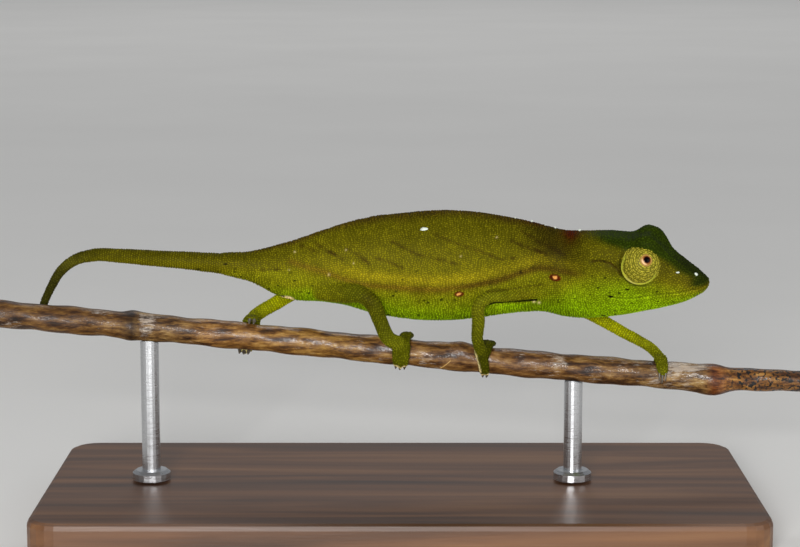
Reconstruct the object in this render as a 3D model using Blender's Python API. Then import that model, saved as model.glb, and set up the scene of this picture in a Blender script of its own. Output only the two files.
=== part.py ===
"""A small green leaf chameleon walking along a twig, life size, on a plain display stand.

Metres, +Z up. The origin is on the floor under the middle of the stand. The animal walks towards +X,
so its right side faces -Y. Every size below is in millimetres until it is multiplied by MM.
"""

import math
from typing import NamedTuple

import bmesh
import bpy
import numpy as np
from mathutils import Matrix, Vector

MM = 0.001
GAP = 0.3  # clearance that touching pieces keep

# The twig that serves as a perch: where its centre line runs, its thickness and its leaf nodes.
PERCH_HALF_LENGTH = 56.5
PERCH_RADIUS = 1.78
PERCH_LINE = ((-57.0, 28.4), (-36.9, 26.6), (-19.6, 24.95), (-2.3, 23.2), (13.8, 21.6), (27.5, 20.4),
              (41.3, 19.35), (57.0, 18.8))
PERCH_NODE_REAR = -36.4
PERCH_NODE_FRONT = 42.6
PERCH_NODE_SWELL, PERCH_NODE_LENGTH = 0.42, 2.0
REAR_NODE_SHARE, REAR_NODE_LENGTH = 0.55, 1.1
NODE_UNDERSIDE = 0.6  # how much more the front node swells below than at its side
PERCH_THIN_SHARE = 0.80  # thickness beyond the front node, as a share of the rest
THIN_AFTER, THIN_LENGTH = 1.6, 0.7
PERCH_BARK_DEPTH = 0.07
BARK_WAVES = ((1.0, 0.61, 2, 0.0), (0.6, 1.37, 3, 1.0))  # share, turns along, turns round and start of each
PERCH_SIDES = 14
PERCH_RINGS = 44
BUD_X, BUD_HEIGHT, BUD_WIDTH = 8.2, 0.42, 1.3
SOLE_REACH_ALONG, SOLE_REACH_ROUND = 0.6, 0.3  # how far around a toe the bark's height counts

# The display stand.
BASE_LENGTH, BASE_WIDTH, BASE_THICKNESS = 96.0, 46.0, 5.0
BASE_CORNER, BASE_BEVEL = 4.0, 0.8
ROD_RADIUS, COLLAR_RADIUS, COLLAR_HEIGHT = 1.25, 2.6, 1.3
ROD_REAR_X, ROD_FRONT_X = -34.0, 23.6
ROD_SIDES = 20
COLLAR_CHAMFER, COLLAR_STEP_SHARE = 0.5, 0.7


class Girth(NamedTuple):
    """One cross-section of the body: its place along X, its top and bottom, and how it is rounded."""

    x: float
    back: float
    belly: float
    half_width: float
    widest: float  # height of the widest place, as a share of the depth from the belly
    upper: float  # under 1 is boxy, 1 is round and above 1 is a keel
    lower: float


# The trunk from the root of the tail to the tip of the snout, with the head still pointing straight ahead.
BODY = (
    Girth(-24.0, 36.60, 33.50, 1.35, 0.50, 1.00, 1.00),
    Girth(-19.6, 36.90, 32.25, 1.65, 0.50, 1.02, 1.00),
    Girth(-16.9, 37.60, 30.80, 2.00, 0.48, 1.05, 1.00),
    Girth(-14.4, 38.30, 30.05, 2.40, 0.47, 1.08, 0.95),
    Girth(-10.9, 39.50, 29.85, 2.85, 0.46, 1.12, 0.95),
    Girth(-7.6, 40.60, 29.40, 3.20, 0.45, 1.15, 0.95),
    Girth(-3.5, 41.60, 28.20, 3.60, 0.44, 1.18, 0.95),
    Girth(0.0, 42.00, 27.60, 3.85, 0.43, 1.20, 0.95),
    Girth(5.0, 42.40, 27.25, 4.10, 0.43, 1.20, 0.95),
    Girth(9.5, 42.25, 27.50, 4.05, 0.43, 1.20, 0.95),
    Girth(13.8, 41.65, 28.10, 3.75, 0.44, 1.20, 0.95),
    Girth(17.1, 41.00, 28.45, 3.45, 0.46, 1.18, 0.97),
    Girth(19.6, 40.40, 28.40, 3.30, 0.48, 1.12, 1.00),
    Girth(22.0, 39.85, 27.70, 3.35, 0.50, 1.02, 1.00),
    Girth(25.0, 39.75, 27.30, 3.60, 0.50, 0.86, 1.02),
    Girth(28.5, 39.80, 27.60, 3.75, 0.50, 0.78, 1.05),
    Girth(32.0, 39.40, 28.20, 3.60, 0.48, 0.74, 1.05),
    Girth(34.8, 38.60, 28.80, 3.15, 0.46, 0.72, 1.02),
    Girth(36.9, 37.08, 29.35, 2.75, 0.46, 0.70, 0.98),
    Girth(38.8, 35.48, 30.00, 2.35, 0.46, 0.72, 0.95),
    Girth(40.3, 34.18, 30.80, 1.90, 0.46, 0.78, 0.92),
    Girth(41.2, 33.58, 31.35, 1.40, 0.48, 0.86, 0.92),
    Girth(41.7, 33.10, 31.95, 0.75, 0.50, 1.00, 1.00),
)
TRUNK_SIDES, HEAD_SIDES = 20, 28
# Distances between the rings of points along each length of the body.
HEAD_RING_STEP, NECK_RING_STEP, TORSO_RING_STEP = 0.8, 1.0, 1.5
TAIL_ROOT_RING_STEP, CUTTER_RING_STEP = 1.3, 1.2

# The head is turned a little towards the right shoulder, rolled with it and lifted.
HEAD_PIVOT = Vector((23.5, 0.0, 33.5))
HEAD_YAW, HEAD_ROLL, HEAD_LIFT = math.radians(-17.0), math.radians(15.0), math.radians(2.5)
TURN_STARTS, TURN_ENDS = 17.5, 27.0

# Where the trunk is divided.
TAIL_CUT, NECK_CUT, HEAD_CUT = -13.4, 19.4, 24.4
CUTTER_END = 30.0  # how far along the body the limbs are kept clear of it

# The turrets of lids and the eyes in their openings.
TURRET_CENTRE = Vector((33.3, 2.10, 36.15))
TURRET_RADIUS, TURRET_SIDES = 2.65, 20
TURRET_ANGLES = (76, 88, 100, 112, 124, 136, 148)  # degrees from the hidden end of the line of sight
GAZES = {-1: (30.0, 29.5), 1: (24.0, 12.0)}  # degrees forward and up for the right and the left eye
APERTURE_RADIUS, APERTURE_DEPTH, APERTURE_TAPER = 0.72, 0.62, 0.04
LID_RISE, LID_WIDTH, LID_ROUNDING, LID_LIP = 0.32, 0.34, 0.28, 0.12
EYE_RADIUS, EYE_BULGE, EYE_RIM, EYE_BACK_SHARE, EYE_SIDES = 0.40, 0.20, 0.08, 0.9, 12
EYE_ANGLES = (0, 30, 60, 82)

# The forms of the head: brows, jaw muscles, mouth, nostrils and the ridges of the snout.
BROW_CENTRE, BROW_HEIGHT, BROW_SPREAD, BROW_FALL = Vector((34.9, 2.4, 38.9)), 1.66, 2.45, 4
BROW_LEAN = 0.35  # how far the brows lean outwards for each unit upwards
CHEEK_CENTRE, CHEEK_HEIGHT, CHEEK_SPREAD, CHEEK_FALL = Vector((27.5, 3.5, 33.0)), 0.30, 3.0, 2
MOUTH_LINE = ((28.7, 32.15), (29.8, 31.8), (31.2, 31.65), (33.0, 31.75), (35.0, 31.95), (36.8, 32.05),
              (38.8, 32.2), (40.5, 32.45), (41.4, 32.65))
MOUTH_TIP = (41.9, 32.7)
MOUTH_GROOVE_RADIUS, MOUTH_GROOVE_SINK, MOUTH_POINTS, MOUTH_SIDES = 0.17, -0.04, 12, 6
LIP_RADIUS, LIP_OFFSET, LIP_SINK = 0.30, 0.36, 0.15
NOSTRIL = (39.9, 33.85)
NOSTRIL_RADIUS = 0.24
CANTHUS = ((35.2, 38.0), (36.6, 37.1), (38.0, 36.0), (39.3, 34.75), (40.5, 33.8))
CREST_BEAD, CREST_BEAD_STEP, CREST_NECK_SHARE, CREST_SIDES = 0.27, 0.62, 0.72, 6

# The tail leaves the trunk level, arches and goes down behind the twig, where its end lies along it.
TAIL_SIDES = 10
TAIL_LINE = (
    (-24.0, 0.00, 35.05, 1.42), (-28.0, 0.10, 35.40, 1.27), (-33.0, 0.45, 35.70, 1.12),
    (-38.0, 1.05, 35.95, 1.00), (-41.5, 1.60, 35.98, 0.90), (-44.2, 2.05, 35.20, 0.79),
    (-46.2, 2.40, 33.60, 0.70), (-47.5, 2.72, 31.50, 0.64), (-48.6, 2.85, 29.20, 0.60),
)
GRIP_LINE = ((-48.8, 158.0, 0.57), (-48.0, 185.0, 0.54), (-46.0, 203.0, 0.50), (-43.4, 200.0, 0.46),
             (-40.4, 188.0, 0.42), (-37.6, 180.0, 0.36), (-35.6, 175.0, 0.28))
TAIL_CUTS = (12.5, 22.5, 29.5)  # lengths along the tail's line where it is divided
TAIL_POINTS, TAIL_RING_STEP = 62, 0.85


class Limb(NamedTuple):
    """A leg or an arm: its joints, thickness at each, and how its foot holds the twig."""

    name: str
    root: Vector
    bend: Vector
    ankle: Vector
    radii: tuple  # at the root, the middle of the upper part, the bend, the lower part and the ankle
    foot_x: float  # where the foot holds the twig
    palm_angle: float  # degrees round the twig: 0 faces -Y, 90 is its top, 180 faces +Y
    bundles: tuple  # (number of toes, how far the bundle is set along the twig, angle of its tips)
    foot_size: float


ARM_RADII, LEG_RADII = (1.08, 0.80, 0.88, 0.90, 0.82), (1.75, 1.40, 1.12, 1.02, 1.02)
FAR_ARM_RADII, FAR_LEG_RADII = (1.20, 1.00, 0.88, 0.82, 0.76), (1.75, 1.40, 1.08, 1.02, 0.98)
LIMBS = (
    Limb("arm_right", Vector((19.6, -1.55, 31.4)), Vector((10.6, -4.85, 30.9)), Vector((10.4, -3.35, 25.1)),
         ARM_RADII, 10.9, 30.0, ((2, 0.75, -46.0), (3, 1.1, 118.0)), 1.0),
    Limb("leg_right", Vector((-10.8, -0.9, 31.9)), Vector((-4.1, -4.70, 31.15)), Vector((-1.5, -3.55, 25.4)),
         LEG_RADII, 0.05, 30.0, ((3, 0.15, -48.0), (2, 0.95, 112.0)), 1.12),
    Limb("arm_left", Vector((19.6, 2.0, 30.8)), Vector((26.9, 4.90, 26.90)), Vector((34.2, 2.35, 23.1)),
         FAR_ARM_RADII, 35.2, 84.0, ((3, 0.2, 8.0), (2, -0.1, 200.0)), 0.78),
    Limb("leg_left", Vector((-11.0, 1.6, 31.9)), Vector((-13.7, 6.10, 30.75)), Vector((-19.9, 3.45, 27.2)),
         FAR_LEG_RADII, -20.4, 140.0, ((2, 0.15, 78.0), (3, -0.6, 252.0)), 1.12),
)
TOE_RADIUS, TOE_STEP, TOE_TIP_SHARE, TOE_ROOT_LIFT = 0.44, 0.66, 0.84, 0.12
TIP_ROUND = 10.0  # degrees by which the outer toes of a bundle of three fall short
MITTEN_TAPER = 0.20  # how much closer the toes of a bundle lie at their tips
CLAW_RADIUS, CLAW_TIP_RADIUS = 0.25, 0.07
CLAW_START, CLAW_ANGLE, CLAW_LIFT, CLAW_ROOT_LIFT = 4.0, 22.0, 0.42, 0.1
CLAW_SHARES = (-0.35, 0.25, 0.7, 1.0)  # places along a claw, from inside the toe to its tip
PALM_RADII = (1.08, 0.68, 1.20)
LIMB_POINTS, TOE_POINTS = 15, 8
LIMB_SIDES, TOE_SIDES, CLAW_SIDES = 10, 6, 5

# Colours of the pieces, in linear light.
SKIN = (0.20, 0.30, 0.02, 1.0)
TAIL_SKIN = (0.22, 0.28, 0.03, 1.0)
FOOT_SKIN = (0.18, 0.24, 0.02, 1.0)
EYE_DARK = (0.01, 0.01, 0.012, 1.0)
BARK = (0.22, 0.12, 0.05, 1.0)
BASE_WOOD = (0.09, 0.05, 0.03, 1.0)
ROD_STEEL = (0.55, 0.55, 0.56, 1.0)


def clear_scene():
    """Remove whatever the file opened with."""
    for old in list(bpy.data.objects):
        bpy.data.objects.remove(old, do_unlink=True)


def material(name, colour, roughness, metallic=0.0):
    """A Principled material, made once."""
    made = bpy.data.materials.get(name)
    if made:
        return made
    made = bpy.data.materials.new(name)
    made.use_nodes = True
    shader = made.node_tree.nodes["Principled BSDF"]
    shader.inputs["Base Color"].default_value = colour
    shader.inputs["Roughness"].default_value = roughness
    shader.inputs["Metallic"].default_value = metallic
    made.diffuse_color = colour
    return made


def smooth_curve(xs, ys, at):
    """The smooth curve through the points (xs, ys), read at the places in at."""
    xs, ys, at = (np.asarray(v, float) for v in (xs, ys, at))
    slopes = np.gradient(ys, xs)
    i = np.clip(np.searchsorted(xs, at) - 1, 0, len(xs) - 2)
    step = xs[i + 1] - xs[i]
    t = (at - xs[i]) / step
    return ((2 * t**3 - 3 * t**2 + 1) * ys[i] + (t**3 - 2 * t**2 + t) * step * slopes[i]
            + (3 * t**2 - 2 * t**3) * ys[i + 1] + (t**3 - t**2) * step * slopes[i + 1])


def smooth_path(points, count):
    """count evenly spaced points on the smooth curve through the given ones, of any number of values."""
    points = np.asarray(points, float)
    along = np.concatenate([[0], np.cumsum(np.linalg.norm(np.diff(points[:, :3], axis=0), axis=1))])
    places = np.linspace(0, along[-1], count)
    return np.stack([smooth_curve(along, column, places) for column in points.T], axis=1)


def girth_at(x):
    """The body's cross-section at x."""
    columns = np.array(BODY).T
    return Girth(x, *(float(smooth_curve(columns[0], column, x)) for column in columns[1:]))


def body_point(x, angle, grow=0.0):
    """A point of the body's surface, with the head straight; angle 0 is the left flank and 90 the back."""
    g = girth_at(x)
    middle = g.belly + (g.back - g.belly) * g.widest
    c, s = math.cos(angle), math.sin(angle)
    height, power = (g.back - middle, g.upper) if s >= 0 else (middle - g.belly, g.lower)
    flat = min(power, 1.0)
    y = (g.half_width + grow) * math.copysign(abs(c) ** power, c)
    z = middle + (height + grow) * math.copysign(abs(s) ** flat, s)
    return Vector((x, y, z))


def flank_point(x, z, side):
    """The point of the straight body's surface at x and height z on one side, -1 right or 1 left."""
    low, high = -math.pi / 2, math.pi / 2
    for _ in range(40):
        half = (low + high) / 2
        if body_point(x, half).z < z:
            low = half
        else:
            high = half
    p = body_point(x, (low + high) / 2)
    return Vector((p.x, side * p.y, p.z))


def swell(point, centre, height, spread, fall):
    """How far a rounded swelling lifts a point that lies near its centre, on either side of the head."""
    away = Vector((point.x, abs(point.y), point.z)) - centre
    return height * math.exp(-((away.length / spread) ** fall))


def head_form(point):
    """Raise the brows over the eyes and the jaw muscles behind them."""
    out = Vector((0.0, math.copysign(BROW_LEAN, point.y), 1.0)).normalized()
    moved = point + out * swell(point, BROW_CENTRE, BROW_HEIGHT, BROW_SPREAD, BROW_FALL)
    moved.y += math.copysign(swell(point, CHEEK_CENTRE, CHEEK_HEIGHT, CHEEK_SPREAD, CHEEK_FALL), point.y)
    return moved


def head_rotation(share=1.0):
    """The rotation of the head, or a share of it in the neck."""
    lift = Matrix.Rotation(-HEAD_LIFT * share, 3, "Y")
    return Matrix.Rotation(HEAD_YAW * share, 3, "Z") @ Matrix.Rotation(HEAD_ROLL * share, 3, "X") @ lift


def turn_head(point):
    """Carry a point of the straight body to where the turned and rolled head takes it."""
    t = min(max((point.x - TURN_STARTS) / (TURN_ENDS - TURN_STARTS), 0.0), 1.0)
    share = t * t * (3 - 2 * t)
    return HEAD_PIVOT + head_rotation(share) @ (point - HEAD_PIVOT)


def loft(rings):
    """A closed skin over rings of equally many points, by extruding the first ring from one to the next."""
    bm = bmesh.new()
    made = bmesh.ops.create_circle(bm, cap_ends=False, segments=len(rings[0]), radius=1.0)
    ring = made["verts"]
    for vertex, place in zip(ring, rings[0]):
        vertex.co = place * MM
    bm.faces.new(ring)
    for places in rings[1:]:
        edges = [bm.edges.get((ring[i], ring[i - 1])) for i in range(len(ring))]
        new = bmesh.ops.extrude_edge_only(bm, edges=edges)["geom"]
        fresh = {v for v in new if isinstance(v, bmesh.types.BMVert)}
        ring = [next(e.other_vert(v) for e in v.link_edges if e.other_vert(v) in fresh) for v in ring]
        for vertex, place in zip(ring, places):
            vertex.co = place * MM
    bm.faces.new(ring)
    bmesh.ops.recalc_face_normals(bm, faces=bm.faces)
    bmesh.ops.triangulate(bm, faces=bm.faces)
    return bm


def tube(points, sides):
    """A closed tube along points of x, y, z and radius."""
    centres = [Vector(p[:3]) for p in points]
    rings, side = [], None
    for i, centre in enumerate(centres):
        ahead = (centres[min(i + 1, len(centres) - 1)] - centres[max(i - 1, 0)]).normalized()
        guide = side or Vector((0.0, 0.0, 1.0)).cross(ahead)
        if guide.length < 0.1:
            guide = Vector((0.0, 1.0, 0.0))
        side = (guide - guide.dot(ahead) * ahead).normalized()
        up = ahead.cross(side)
        ring = []
        for k in range(sides):
            a = 2 * math.pi * k / sides
            ring.append(centre + (side * math.cos(a) + up * math.sin(a)) * points[i][3])
        rings.append(ring)
    return loft(rings)


def as_object(name, bm, finish=None):
    """Turn a bmesh into an object of the scene."""
    mesh = bpy.data.meshes.new(name)
    bm.to_mesh(mesh)
    bm.free()
    mesh.shade_smooth()
    made = bpy.data.objects.new(name, mesh)
    bpy.context.scene.collection.objects.link(made)
    if finish:
        mesh.materials.append(finish)
    return made


def apply_modifiers(target):
    """Replace the object's mesh by what its modifiers make of it."""
    graph = bpy.context.evaluated_depsgraph_get()
    mesh = bpy.data.meshes.new_from_object(target.evaluated_get(graph))
    target.modifiers.clear()
    target.data = mesh


def keep_largest(target):
    """Keep the largest closed surface of an object and drop scraps."""
    bm = bmesh.new()
    bm.from_mesh(target.data)
    left, groups = set(bm.faces), []
    while left:
        stack = [left.pop()]
        group = list(stack)
        while stack:
            for edge in stack.pop().edges:
                for face in edge.link_faces:
                    if face in left:
                        left.remove(face)
                        stack.append(face)
                        group.append(face)
        groups.append(group)
    groups.sort(key=lambda g: sum(face.calc_area() for face in g), reverse=True)
    scraps = [face for group in groups[1:] for face in group]
    bmesh.ops.delete(bm, geom=scraps, context="FACES")
    loose = [v for v in bm.verts if not v.link_faces]
    bmesh.ops.delete(bm, geom=loose, context="VERTS")
    bmesh.ops.triangulate(bm, faces=bm.faces)
    bm.to_mesh(target.data)
    bm.free()


def combine(target, others, operation):
    """Join the others to the target or cut them from it, then remove them."""
    group = bpy.data.collections.new(target.name + "_pieces")
    bpy.context.scene.collection.children.link(group)
    for other in others:
        bpy.context.scene.collection.objects.unlink(other)
        group.objects.link(other)
    step = target.modifiers.new(operation, "BOOLEAN")
    step.operation = operation
    step.solver = "EXACT"
    step.operand_type = "COLLECTION"
    step.collection = group
    bpy.context.view_layer.update()
    apply_modifiers(target)
    for other in others:
        bpy.data.objects.remove(other, do_unlink=True)
    bpy.data.collections.remove(group)
    keep_largest(target)


def clip(bm, point, normal):
    """Cut away the part of a closed bmesh that lies beyond a plane, and close the cut."""
    geometry = bm.verts[:] + bm.edges[:] + bm.faces[:]
    cut = bmesh.ops.bisect_plane(bm, geom=geometry, dist=1e-7, plane_co=point * MM, plane_no=normal,
                                 clear_outer=True)
    rim = [e for e in cut["geom_cut"] if isinstance(e, bmesh.types.BMEdge)]
    bmesh.ops.edgeloop_fill(bm, edges=rim)
    bmesh.ops.triangulate(bm, faces=bm.faces)
    return bm


def trunk_piece(start, end, sides, spacing, grow=0.0):
    """The length of the body from start to end as a closed bmesh."""
    count = max(3, round((end - start) / spacing) + 1)
    rings = []
    for x in np.linspace(start, end, count):
        ring = [head_form(body_point(float(x), 2 * math.pi * (k + 0.5) / sides, grow)) for k in range(sides)]
        rings.append([turn_head(p) for p in ring])
    return loft(rings)


def perch_centre(x):
    """The height of the twig's centre line at x."""
    xs, zs = zip(*PERCH_LINE)
    return Vector((x, 0.0, float(smooth_curve(xs, zs, x))))


def perch_radius(x, angle):
    """The twig's radius: it swells at its leaf nodes, thins beyond the front one and has uneven bark."""
    beyond = 1 / (1 + math.exp(-(x - PERCH_NODE_FRONT - THIN_AFTER) / THIN_LENGTH))
    radius = PERCH_RADIUS * (1 - (1 - PERCH_THIN_SHARE) * beyond)
    rear = math.exp(-(((x - PERCH_NODE_REAR) / REAR_NODE_LENGTH) ** 2))
    front = math.exp(-(((x - PERCH_NODE_FRONT) / PERCH_NODE_LENGTH) ** 2))
    radius += PERCH_NODE_SWELL * (REAR_NODE_SHARE * rear + (1.0 - NODE_UNDERSIDE * math.sin(angle)) * front)
    for share, along, around, start in BARK_WAVES:
        radius += PERCH_BARK_DEPTH * share * math.sin(along * x + around * angle + start)
    near_top = max(math.sin(angle + 0.25), 0.0) ** 3
    return radius + BUD_HEIGHT * near_top * math.exp(-(((x - BUD_X) / BUD_WIDTH) ** 2))


def perch_frame(x):
    """The twig's direction and the upward direction square to it, at x."""
    ahead = (perch_centre(x + 0.5) - perch_centre(x - 0.5)).normalized()
    return ahead, Vector((0.0, -1.0, 0.0)).cross(ahead).normalized()


def around_perch(x, degrees, out, along=0.0):
    """A point at a distance from the twig's centre line; 0 degrees faces -Y and 90 is the top."""
    ahead, up = perch_frame(x)
    a = math.radians(degrees)
    return perch_centre(x) + ahead * along + (Vector((0.0, -1.0, 0.0)) * math.cos(a) + up * math.sin(a)) * out


def perch_clear(x, degrees, thickness):
    """How far from the centre line something of this half thickness lies to clear the bark."""
    a = math.radians(degrees)
    nearby = [perch_radius(x + way * SOLE_REACH_ALONG, a + turn * SOLE_REACH_ROUND)
              for way in (-1, 0, 1) for turn in (-1, 0, 1)]
    return max(nearby) + GAP + thickness


def perch_mesh(grow=0.0):
    """The twig as a closed bmesh, grown outwards where it serves as a cutter."""
    rings = []
    for x in np.linspace(-PERCH_HALF_LENGTH, PERCH_HALF_LENGTH, PERCH_RINGS):
        ring = []
        for k in range(PERCH_SIDES):
            a = 360.0 * k / PERCH_SIDES
            place = around_perch(float(x), a, perch_radius(float(x), math.radians(a)) + grow)
            ring.append(Vector((float(x), place.y, place.z)))
        rings.append(ring)
    return loft(rings)


def build_head():
    """The skull and jaws, with the sockets of the eyes, the mouth, the nostrils and beaded crests."""
    skin = material("skin", SKIN, 0.55)
    whole = trunk_piece(HEAD_CUT + GAP / 2, BODY[-1].x, HEAD_SIDES, HEAD_RING_STEP)
    head = as_object("head", whole, skin)
    beads = [as_object("lip", along_mouth(way * LIP_OFFSET, LIP_RADIUS, LIP_SINK)) for way in (-1, 1)]
    beads += [as_object("canthus", crest(CANTHUS, side)) for side in (-1, 1)]
    combine(head, beads, "UNION")
    cutters = [as_object("mouth", along_mouth(0.0, MOUTH_GROOVE_RADIUS, MOUTH_GROOVE_SINK))]
    socket = turret_profile(GAP)
    socket.insert(0, (socket[0][0], socket[0][1] - GAP))
    for side in (-1, 1):
        cutters.append(as_object("socket", turned(socket, side, TURRET_SIDES)))
        cutters.append(as_object("nostril", nostril(side)))
    combine(head, cutters, "DIFFERENCE")


def crest(line, side):
    """A beaded ridge of enlarged scales along a line of the head."""
    xs, zs = zip(*line)
    count = max(4, round((xs[-1] - xs[0]) / CREST_BEAD_STEP) * 2 + 1)
    points = []
    for i, x in enumerate(np.linspace(xs[0], xs[-1], count)):
        z = float(smooth_curve(xs, zs, x))
        place = turn_head(head_form(flank_point(float(x), z, side)))
        points.append((*place, CREST_BEAD * (1.0 if i % 2 else CREST_NECK_SHARE)))
    return tube(points, CREST_SIDES)


def along_mouth(offset, radius, sunk):
    """A tube round the snout from one corner of the mouth to the other, at a height above its line."""
    xs, zs = zip(*MOUTH_LINE)
    right = []
    for x in np.linspace(xs[0], xs[-1], MOUTH_POINTS):
        place = flank_point(float(x), float(smooth_curve(xs, zs, x)) + offset, -1)
        right.append(Vector((place.x, place.y + sunk, place.z)))
    left = [Vector((p.x, -p.y, p.z)) for p in reversed(right)]
    tip = [Vector((MOUTH_TIP[0] - sunk, 0.0, MOUTH_TIP[1] + offset))]
    return tube([(*turn_head(head_form(p)), radius) for p in right + tip + left], MOUTH_SIDES)


def nostril(side):
    """A small pit on the side of the snout."""
    centre = turn_head(flank_point(*NOSTRIL, side))
    bm = bmesh.new()
    bmesh.ops.create_icosphere(bm, subdivisions=1, radius=NOSTRIL_RADIUS * MM,
                               matrix=Matrix.Translation(centre * MM))
    return bm


def gaze(side):
    """The direction in which an eye looks, with the head straight."""
    forward, up = (math.radians(angle) for angle in GAZES[side])
    return Vector((math.sin(forward) * math.cos(up), side * math.cos(forward) * math.cos(up), math.sin(up)))


def place_on_gaze(side):
    """The transform that carries a shape turned about +Z into the socket of an eye."""
    centre = Vector((TURRET_CENTRE.x, side * TURRET_CENTRE.y, TURRET_CENTRE.z))
    aim = gaze(side).to_track_quat("Z", "X").to_matrix().to_4x4()
    here = Matrix.Translation(centre) @ aim
    turn = head_rotation().to_4x4()
    return Matrix.Translation(HEAD_PIVOT) @ turn @ Matrix.Translation(-HEAD_PIVOT) @ here


def turned(profile, side, sides):
    """A shape turned about the line of sight from a profile of (radius, height), outer side first."""
    rings = []
    place = place_on_gaze(side)
    for radius, height in profile:
        ring = [place @ Vector((radius * math.cos(2 * math.pi * k / sides),
                                radius * math.sin(2 * math.pi * k / sides), height)) for k in range(sides)]
        rings.append(ring)
    return loft(rings)


def turret_profile(grow=0.0):
    """The outline of the lids from their hidden base to the rim of the opening, as radius and height."""
    radius = TURRET_RADIUS + grow
    rim = APERTURE_RADIUS + LID_WIDTH + grow
    rim_height = math.sqrt(radius**2 - rim**2)
    profile = [(radius * math.sin(a), -radius * math.cos(a)) for a in np.radians(TURRET_ANGLES)]
    return profile + [(rim, rim_height + 0.5 * LID_RISE), (rim - LID_ROUNDING, rim_height + LID_RISE)]


def turret(side):
    """The scaly cone of lids that carries the eye, a little fuller round its middle opening."""
    profile = turret_profile()
    top = profile[-1][1]
    profile.append((APERTURE_RADIUS, top - LID_LIP))
    profile.append((APERTURE_RADIUS - APERTURE_TAPER, top - APERTURE_DEPTH))
    return turned(profile, side, TURRET_SIDES)


def build_eyes():
    """The two lid turrets, and the dark eyes that show in their openings."""
    lids = material("lids", SKIN, 0.5)
    dark = material("eye", EYE_DARK, 0.08)
    floor = turret_profile()[-1][1] - APERTURE_DEPTH + GAP
    for side, word in ((-1, "right"), (1, "left")):
        as_object("eye_turret_" + word, turret(side), lids)
        profile = [(EYE_BACK_SHARE * EYE_RADIUS, floor)]
        profile += [(EYE_RADIUS * math.cos(a), floor + EYE_RIM + EYE_BULGE * math.sin(a))
                    for a in np.radians(EYE_ANGLES)]
        as_object("eye_" + word, turned(profile, side, EYE_SIDES), dark)


def build_trunk():
    """The neck, the torso and the root of the tail, divided by thin cuts."""
    skin = material("skin", SKIN, 0.55)
    lengths = (("neck", NECK_CUT, HEAD_CUT, NECK_RING_STEP), ("torso", TAIL_CUT, NECK_CUT, TORSO_RING_STEP),
               ("tail_root", BODY[0].x, TAIL_CUT, TAIL_ROOT_RING_STEP))
    for name, start, end, step in lengths:
        as_object(name, trunk_piece(start + GAP / 2, end - GAP / 2, TRUNK_SIDES, step), skin)


def tail_points():
    """The tail's line from the end of the trunk to its tip, as x, y, z and radius."""
    line = [tuple(p) for p in TAIL_LINE]
    for x, degrees, radius in GRIP_LINE:
        line.append((*around_perch(x, degrees, perch_clear(x, degrees, radius)), radius))
    return smooth_path(line, TAIL_POINTS)


def build_tail():
    """The tapering round tail in four lengths."""
    skin = material("tail_skin", TAIL_SKIN, 0.55)
    points = tail_points()
    along = np.concatenate([[0], np.cumsum(np.linalg.norm(np.diff(points[:, :3], axis=0), axis=1))])
    names = ("tail_base", "tail_middle", "tail_bend", "tail_tip")
    edges = (0.0, *TAIL_CUTS, along[-1])
    for name, start, end in zip(names, edges, edges[1:]):
        first = start + GAP / 2
        last = end - GAP / 2 if end < along[-1] else end
        count = max(4, round((last - first) / TAIL_RING_STEP) + 1)
        places = np.linspace(first, last, count)
        piece = np.stack([np.interp(places, along, column) for column in points.T], axis=1)
        as_object(name, tube(piece, TAIL_SIDES), skin)


def limb_points(limb):
    """The limb's line from inside the body to inside the foot, as x, y, z and radius."""
    root, bend, ankle = limb.root, limb.bend, limb.ankle
    palm = palm_centre(limb)
    upper, knee, lower, end = limb.radii[1:]
    line = [
        (*root, limb.radii[0]),
        (*root.lerp(bend, 0.5), upper),
        (*root.lerp(bend, 0.93), knee),
        (*bend.lerp(ankle, 0.10), knee),
        (*bend.lerp(ankle, 0.55), lower),
        (*ankle, end),
        (*ankle.lerp(palm, 0.8), end),
    ]
    return smooth_path(line, LIMB_POINTS)


def palm_centre(limb):
    """The middle of the sole, just off the twig."""
    out = perch_clear(limb.foot_x, limb.palm_angle, PALM_RADII[1] * limb.foot_size)
    return around_perch(limb.foot_x, limb.palm_angle, out)


def toe_points(limb, offset, count, index, tip):
    """One toe's line round the twig, from the palm to the root of its claw, and the line of the claw."""
    middle = index - (count - 1) / 2
    across = middle * TOE_STEP * limb.foot_size
    way = math.copysign(1.0, tip - limb.palm_angle)
    tip -= way * TIP_ROUND * middle**2
    toe, claw = [], []
    for share in np.linspace(0.0, 1.0, TOE_POINTS):
        angle = limb.palm_angle + (tip - limb.palm_angle) * share
        radius = limb.foot_size * TOE_RADIUS * (1 + (TOE_TIP_SHARE - 1) * share)
        x = limb.foot_x + offset * share
        out = perch_clear(x, angle, radius) + TOE_ROOT_LIFT * (1 - share)
        toe.append((*around_perch(x, angle, out, across * (1 - MITTEN_TAPER * share)), radius))
    for share in CLAW_SHARES:
        grown = max(share, 0.0)
        angle = tip + way * (CLAW_ANGLE * share + CLAW_START)
        radius = limb.foot_size * (CLAW_RADIUS + (CLAW_TIP_RADIUS - CLAW_RADIUS) * grown)
        x = limb.foot_x + offset
        out = perch_clear(x, angle, radius) + CLAW_ROOT_LIFT * (1 - share) + CLAW_LIFT * grown
        claw.append((*around_perch(x, angle, out, across * (1 - MITTEN_TAPER)), radius))
    return toe, claw


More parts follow.
